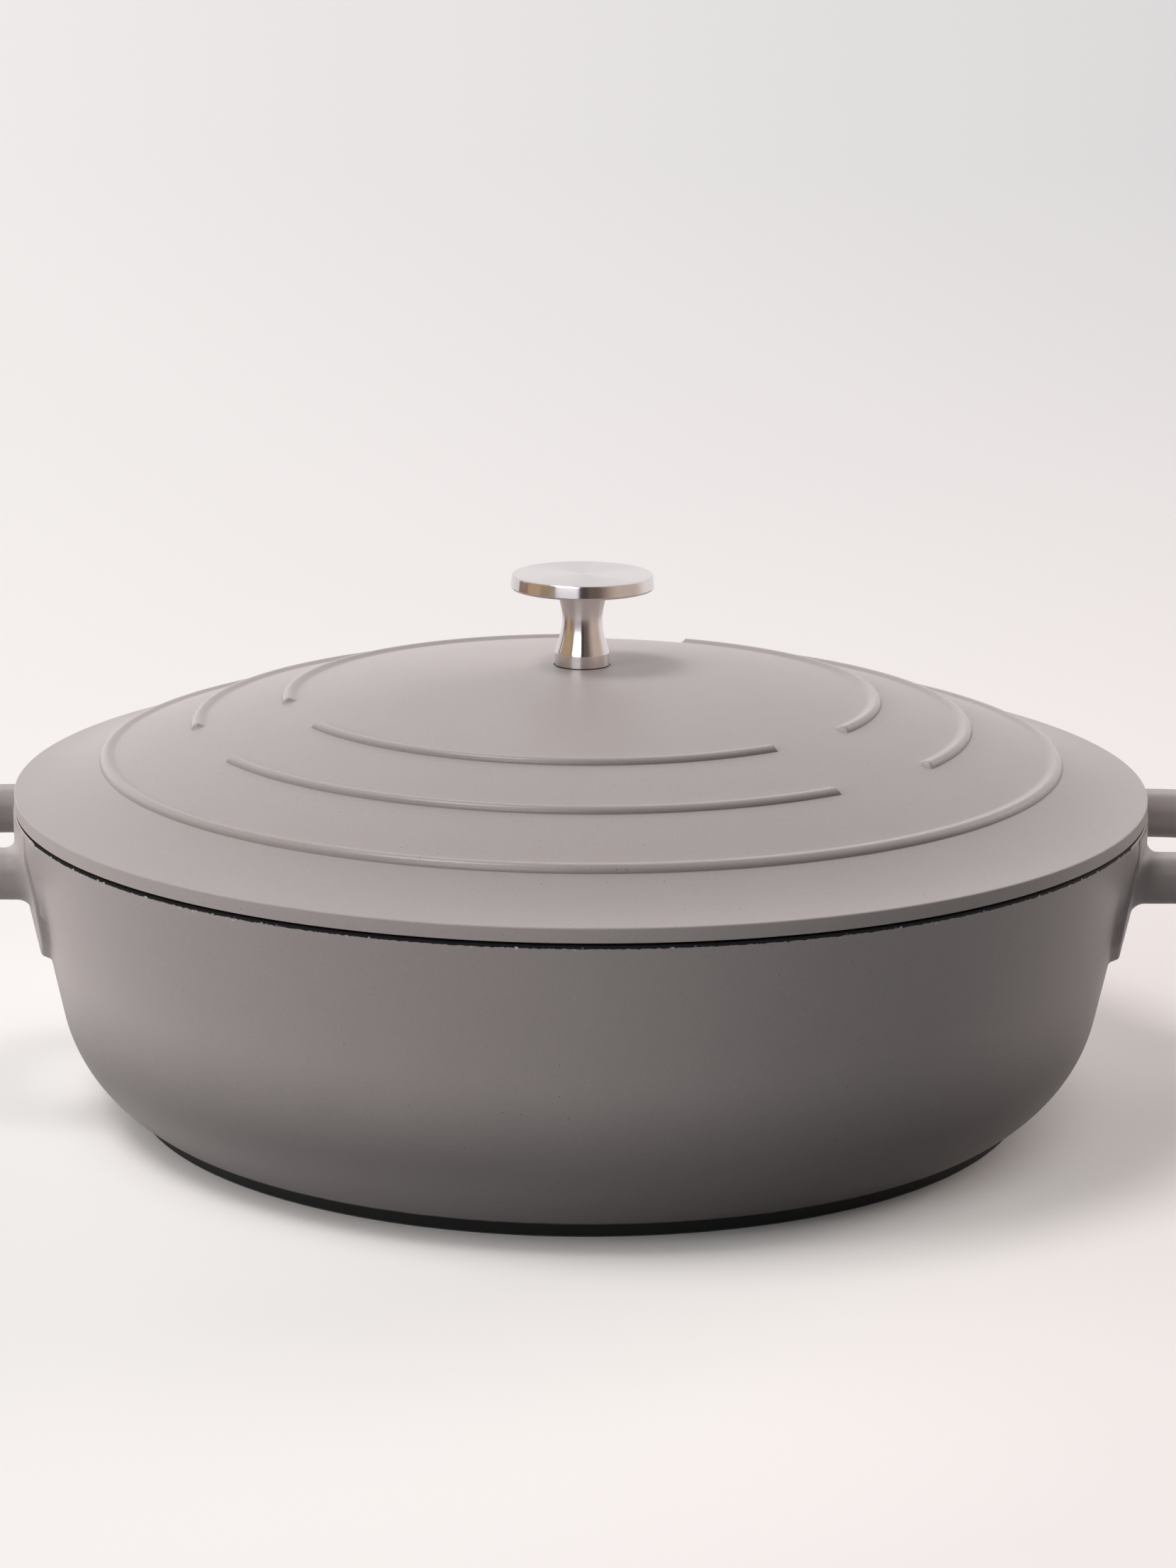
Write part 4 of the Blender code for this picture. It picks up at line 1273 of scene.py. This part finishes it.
def recess_wing(degrees):
    """One wing of the cross: wide at the mouth and narrower at its bottom."""
    rings = []
    for height, share in ((-0.0005, 1.0), (0.0, 1.0), (RECESS_DEPTH, RECESS_TAPER)):
        ring = []
        for x, y in ((1, 1), (-1, 1), (-1, -1), (1, -1)):
            corner = Vector((x * RECESS_LENGTH / 2 * share, y * RECESS_WIDTH / 2 * share, 0))
            corner.rotate(about_z(degrees))
            ring.append((corner.x, corner.y, head_top - HEAD_HEIGHT + height))
        rings.append(ring)
    return capped_rings("recess_wing", rings, [(0, 0, rings[0][0][2]), (0, 0, rings[-1][0][2])])


for degrees in (0, 90):
    combine(screw, [recess_wing(degrees)], "DIFFERENCE", "EXACT")
screw.data.materials.append(screw_steel)
shade_by_angle(screw, 30)
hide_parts("knob_screw")
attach(screw, "lid_assembly")


# %% Helpers for trees that make a whole piece
def lifted(geometry, height):
    shift = put(geometry.tree, "ShaderNodeCombineXYZ", {"Z": height})
    return put(geometry.tree, "GeometryNodeTransform", {"Geometry": geometry, "Translation": shift})


def end_tree(geometry, finish, result):
    """Ends a tree with real faces, all of one finish."""
    real = put(geometry.tree, "GeometryNodeRealizeInstances", {0: geometry})
    fill(result, put(geometry.tree, "GeometryNodeSetMaterial", {"Geometry": real, "Material": finish}))
    print("Tree", geometry.tree.name, "has", len(geometry.tree.nodes), "nodes")


def grown(name, tree, sizes):
    """A piece that a tree makes from its sizes alone."""
    obj = add_object(name, bpy.data.meshes.new(name))
    grow(obj, tree, sizes)
    return obj


# %% Sweep the lock washer
SPIRAL_STEPS = 72
WIRE_THICKNESS = 0.0009

tree, given, result = new_group(
    "split_washer",
    "GeometryNodeTree",
    ["Mesh", "Wire Radius", "Turns", "End Lift", "Wire Width", "Wire Thickness", "Height", "Finish"],
    ["Mesh"],
)
spiral = {"Resolution": SPIRAL_STEPS, "Rotations": given["Turns"], "Height": given["End Lift"]}
spiral |= {"Start Radius": given["Wire Radius"], "End Radius": given["Wire Radius"]}
path = put(tree, "GeometryNodeCurveSpiral", spiral)
wire_sides = {"Width": given["Wire Width"], "Height": given["Wire Thickness"]}
wire = put(tree, "GeometryNodeCurvePrimitiveQuadrilateral", wire_sides)
swept = put(tree, "GeometryNodeCurveToMesh", {"Curve": path, "Profile Curve": wire, "Fill Caps": True})
end_tree(lifted(swept, given["Height"]), given["Finish"], result["Mesh"])

washer_sizes = {
    "Wire Radius": (WASHER_RADIUS + BORE_RADIUS) / 2,
    "Turns": 0.965,
    "End Lift": 0.0003,
    "Wire Width": WASHER_RADIUS - BORE_RADIUS,
    "Wire Thickness": WIRE_THICKNESS,
    "Height": washer_top - WASHER_THICKNESS + WIRE_THICKNESS / 2,
}
lock_washer = grown("lock_washer", tree, {**washer_sizes, "Finish": screw_steel})
shade_by_angle(lock_washer, 30)
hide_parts("lock_washer")
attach(lock_washer, "lid_assembly")

# %% [markdown]
# ## The plate in the base
# A steel plate lets the pot work on an induction hob. It lies in a recess of the casting,
# whose black coat shows through its holes. The holes lie on rings with six more in each,
# a repeat that suits Geometry Nodes: one cutter is placed on the points of three circles
# and all copies are cut from the disc at once.

# %% Build the perforated plate
PLATE_HOLE_RADIUS = 0.0032
PLATE_HOLE_PITCH = 0.0215
PLATE_HOLE_RINGS = 3
PLATE_HOLES_PER_RING = 6
PLATE_STEPS = 192
HOLE_STEPS = 28
CUTTER_DEPTH_SHARE = 3.0

tree, given, result = new_group(
    "perforated_plate",
    "GeometryNodeTree",
    ["Mesh", "Plate Radius", "Plate Thickness", "Hole Radius", "Hole Pitch", "Finish"],
    ["Mesh"],
)
thickness = given["Plate Thickness"]
disc_sizes = {"Vertices": PLATE_STEPS, "Radius": given["Plate Radius"], "Depth": thickness}
disc = put(tree, "GeometryNodeMeshCylinder", disc_sizes)
cutter_depth = thickness * CUTTER_DEPTH_SHARE
cutter_sizes = {"Vertices": HOLE_STEPS, "Radius": given["Hole Radius"], "Depth": cutter_depth}
cutter = put(tree, "GeometryNodeMeshCylinder", cutter_sizes)
circles = put(tree, "GeometryNodeJoinGeometry")
for ring in range(1, PLATE_HOLE_RINGS + 1):
    count = ring * PLATE_HOLES_PER_RING
    radius = given["Hole Pitch"] * float(ring)
    circle = put(tree, "GeometryNodeMeshCircle", {"Vertices": count, "Radius": radius})
    turned_circle = {"Geometry": circle, "Rotation": (0, 0, math.pi / count)}
    fill(circles.socket.node.inputs[0], put(tree, "GeometryNodeTransform", turned_circle))
copies = put(tree, "GeometryNodeInstanceOnPoints", {"Points": circles, "Instance": cutter})
holes = put(tree, "GeometryNodeRealizeInstances", {0: copies})
pierced = put(tree, "GeometryNodeMeshBoolean", {0: disc, 1: holes}, operation="DIFFERENCE")
end_tree(lifted(pierced, thickness * 0.5), given["Finish"], result["Mesh"])

plate_sizes = {
    "Plate Radius": plate_radius,
    "Plate Thickness": PLATE_THICKNESS,
    "Hole Radius": PLATE_HOLE_RADIUS,
    "Hole Pitch": PLATE_HOLE_PITCH,
}
induction_plate = grown("induction_plate", tree, {**plate_sizes, "Finish": plate_steel})
shade_by_angle(induction_plate, 30)
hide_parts("induction_plate")
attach(induction_plate, "pot")
print("Plate:", len(induction_plate.data.polygons), "faces")

# %% [markdown]
# ## Floor and backdrop
# The photograph shows a white table that runs back without an edge. One large plane does
# that, because even the top of the frame looks slightly down. Its colour holds painted
# light: a painted pool of light makes it palest round the pot, it is greyer in front, and a
# painted falloff makes it darker far back. The camera also sees a painted glow on it,
# stronger on the left and gone under the pot. For the light that it bounces back the floor
# is much darker, which stands for the small size of a real table and keeps the pot's lower
# wall as deep as in the photograph. Past a table's edge, mirrored rays go through it.

# %% Lay the floor
FLOOR_HALF_SIZE = 40.0
FLOOR_POOL_OF_LIGHT = (0.97, 0.925, 0.905)
FLOOR_FRONT = (0.80, 0.75, 0.745)
FLOOR_FAR_SHADE = (0.605, 0.60, 0.615)
FLOOR_BOUNCE = (0.22, 0.22, 0.23)
FLOOR_GLOW = (0.955, 0.925, 0.905)
GLOW_SHARE = 0.40
GLOW_SLOPE = -1.6
GLOW_LEAST = 0.15
GLOW_MOST = 0.62
FOOT_SHADOW = (0.114, 0.145)
LIT_PLACE = (-0.03, -0.06, 0.0)
NEAR_POT = 0.10
FAR_FROM_POT = 0.26
CAMERA_REACH = 1.02
LEAST_DEPTH = 0.2
BACK_STARTS = 0.78
BACK_ENDS = 0.25
TABLE_EDGE = 0.45

bm = bmesh.new()
bmesh.ops.create_grid(bm, x_segments=1, y_segments=1, size=FLOOR_HALF_SIZE)
floor_mesh = bpy.data.meshes.new("floor")
bm.to_mesh(floor_mesh)
bm.free()
floor = add_object("floor", floor_mesh)

floor_finish = bpy.data.materials.new("white_table")
floor_finish.use_nodes = True
floor_mesh.materials.append(floor_finish)
tree = floor_finish.node_tree
tree.nodes.clear()
camera_ray = put(tree, "ShaderNodeLightPath", output="Is Camera Ray")
glossy_ray = camera_ray.other("Is Glossy Ray")
place = put(tree, "ShaderNodeTexCoord", output="Object")
distance = put(tree, "ShaderNodeVectorMath", {0: place}, "Value", operation="LENGTH")
x, y, _ = split(place)
depth = maths("MAXIMUM", y + CAMERA_REACH, LEAST_DEPTH)
nearness = maths("DIVIDE", CAMERA_REACH, depth)
# A painted falloff of light: the floor darkens far back.
painted_falloff = step(nearness, BACK_STARTS, BACK_ENDS, "LINEAR")
open_floor = blend_colours(painted_falloff, FLOOR_FRONT, FLOOR_FAR_SHADE)
from_lit = put(tree, "ShaderNodeVectorMath", {0: place, 1: LIT_PLACE}, "Value", operation="DISTANCE")
# A painted pool of light round the pot.
painted_pool = step(from_lit, FAR_FROM_POT, NEAR_POT, "LINEAR")
pale = put(tree, "ShaderNodeBsdfDiffuse", {"Color": blend_colours(painted_pool, open_floor, FLOOR_POOL_OF_LIGHT)})

# A painted glow that lifts the shade on the floor, stronger on the left and gone under the pot.
glow = put(tree, "ShaderNodeEmission", {"Color": (*FLOOR_GLOW, 1)})
glow_share = x * nearness * GLOW_SLOPE + GLOW_SHARE
glow_share = put(tree, "ShaderNodeClamp", {"Value": glow_share, "Min": GLOW_LEAST, "Max": GLOW_MOST})
glow_share = glow_share * step(distance, *FOOT_SHADOW) * camera_ray
shown = mix_shaders(glow_share, pale, glow)
dim = put(tree, "ShaderNodeBsdfDiffuse", {"Color": (*FLOOR_BOUNCE, 1)})
seen = maths("MAXIMUM", maths("MAXIMUM", camera_ray, glossy_ray), camera_ray.other("Is Transmission Ray"))
past_edge = maths("GREATER_THAN", distance, TABLE_EDGE) * glossy_ray
gone = put(tree, "ShaderNodeBsdfTransparent")
put(tree, "ShaderNodeOutputMaterial", {0: mix_shaders(past_edge, mix_shaders(seen, dim, shown), gone)})
print("Floor is", 2 * FLOOR_HALF_SIZE, "m wide")

# %% [markdown]
# ## Light
# The shading tells where the light was. The left side and the back right are brightest on
# the wall, and a cooler window at the front left grades it between them. What white walls
# send back comes from behind. A source high on the left draws the handle's soft shadow.
# The window and the walls are soft patches in the world, so they light the table evenly
# however far it runs, and the high source is one soft sun. The level is one at which a
# colour renders about as written.
#
# Polished steel shows its room as a picture, and a few patches of light would leave it
# empty. So mirrored rays see a second set of patches, the room's walls, window and wood,
# which give the knob its light and dark bands and light nothing else.

# %% Build the light patch group
light_patch, given, result = new_group(
    "light_patch",
    "ShaderNodeTree",
    ["Direction", "Azimuth", "Elevation", "Width", "Height", "Softness"],
    ["Mask"],
)
x, y, z = split(given["Direction"])
turn = maths("DEGREES", maths("ARCTAN2", x, y * -1.0)) - given["Azimuth"]
turn = maths("ABSOLUTE", maths("WRAP", turn, 180.0, -180.0))
rise = maths("ABSOLUTE", maths("DEGREES", maths("ARCSINE", z)) - given["Elevation"])
half_soft = given["Softness"] * 0.5
half_width = given["Width"] * 0.5
half_height = given["Height"] * 0.5
across = step(turn, half_width + half_soft, half_width - half_soft)
upwards = step(rise, half_height + half_soft, half_height - half_soft)
fill(result["Mask"], across * upwards)
print("Group", light_patch.name, "has", len(light_patch.nodes), "nodes")

# %% Light the world
BACKDROP_COLOUR = (0.84, 0.81, 0.80)
PATCHES = (
    # name, azimuth, elevation, width, height, softness, colour, strength
    ("front_window", -26, 33, 40, 30, 8, (0.82, 0.93, 1.00), 0.72),
    ("left_front", -58, 12, 36, 28, 10, (1.0, 0.98, 0.97), 4.00),
    ("left_low", -88, 14, 40, 36, 12, (1.0, 0.96, 0.94), 1.60),
    ("left_behind", -118, 14, 30, 36, 12, (1.0, 0.95, 0.93), 2.20),
    ("left_high", -88, 50, 90, 40, 20, (1.0, 0.98, 0.97), 0.50),
    ("back_left_wall", -150, 20, 50, 40, 20, (1.0, 0.98, 0.98), 0.65),
    ("back_wall", 170, 40, 90, 40, 20, (1.0, 0.98, 0.98), 1.10),
    ("back_right_wall", 126, 18, 38, 36, 14, (1.0, 0.92, 0.87), 6.90),
)
BEIGE_WALL = (0.72, 0.60, 0.52)
MIRRORED = (
    # name, azimuth, elevation, width, height, softness, colour, strength
    ("backdrop", 180, 25, 150, 90, 30, (0.98, 0.95, 0.97), 1),
    ("brown_corner", 12, 0, 56, 160, 40, (0.17, 0.13, 0.11), 1),
    ("dark_gap", 0, 0, 16, 160, 6, (0.08, 0.06, 0.065), 1),
    ("grey_wall", -26, 0, 38, 160, 5, (0.52, 0.50, 0.58), 1),
    ("window", -26, 31, 38, 40, 4, (1.00, 1.02, 1.06), 5),
    ("curtain", -52, 0, 14, 160, 4, (0.44, 0.35, 0.27), 1),
    ("wood_panel", -83, 0, 48, 160, 3, (0.58, 0.42, 0.26), 1),
    ("dark_shelf", -64, -8, 15, 20, 4, (0.28, 0.21, 0.16), 1),
    ("dark_door", -110, -8, 24, 20, 4, (0.30, 0.17, 0.13), 1),
    ("door_edge", -118, 0, 7, 160, 3, (0.30, 0.22, 0.16), 1),
)

world = bpy.data.worlds.new("white_room")
world.use_nodes = True
bpy.context.scene.world = world
tree = world.node_tree
tree.nodes.clear()
camera_ray = put(tree, "ShaderNodeLightPath", output="Is Camera Ray")
direction = put(tree, "ShaderNodeTexCoord", output="Generated")


def patches(rows):
    """The mask and the bright colour of each patch."""
    for _, azimuth, elevation, width, height, softness, colour, strength in rows:
        sizes = {"Azimuth": azimuth, "Elevation": elevation, "Width": width, "Height": height}
        mask = use_group(light_patch, Direction=direction, Softness=softness, **sizes)["Mask"]
        yield mask, tuple(strength * part for part in colour)


light = (0, 0, 0)
for mask, colour in patches(PATCHES):
    light = blend_colours(1.0, light, blend_colours(mask, (0, 0, 0), colour), "ADD")
mirrored = BEIGE_WALL
for mask, colour in patches(MIRRORED):
    mirrored = blend_colours(mask, mirrored, colour)
room = put(tree, "ShaderNodeBackground", {"Color": light})
surroundings = put(tree, "ShaderNodeBackground", {"Color": mirrored})
backdrop = put(tree, "ShaderNodeBackground", {"Color": (*BACKDROP_COLOUR, 1)})
lit = mix_shaders(camera_ray.other("Is Glossy Ray"), room, surroundings)
put(tree, "ShaderNodeOutputWorld", {0: mix_shaders(camera_ray, lit, backdrop)})
print("Room has", len(PATCHES), "lights and", len(MIRRORED), "mirrored patches")

# %% Place the high lamp
SUN_DIRECTION = Vector((-0.34, -0.12, 0.93)).normalized()
SUN_SPREAD = 22
SUN_STRENGTH = 1.30

sun_data = bpy.data.lights.new("high_left_lamp", "SUN")
sun_data.angle = math.radians(SUN_SPREAD)
sun_data.energy = SUN_STRENGTH
sun = add_object("high_left_lamp", sun_data)
sun.rotation_euler = SUN_DIRECTION.to_track_quat("Z", "Y").to_euler()
print("Lamp comes from", [round(part, 2) for part in SUN_DIRECTION])

# %% [markdown]
# ## Last step
# The colours are written for the Standard view, so that is set here. Both boxes go to a
# small file, because the dressed pot may not be larger than the imported one, and the last
# line checks that every piece rides on a body.

# %% Finish
bpy.context.scene.view_settings.view_transform = "Standard"
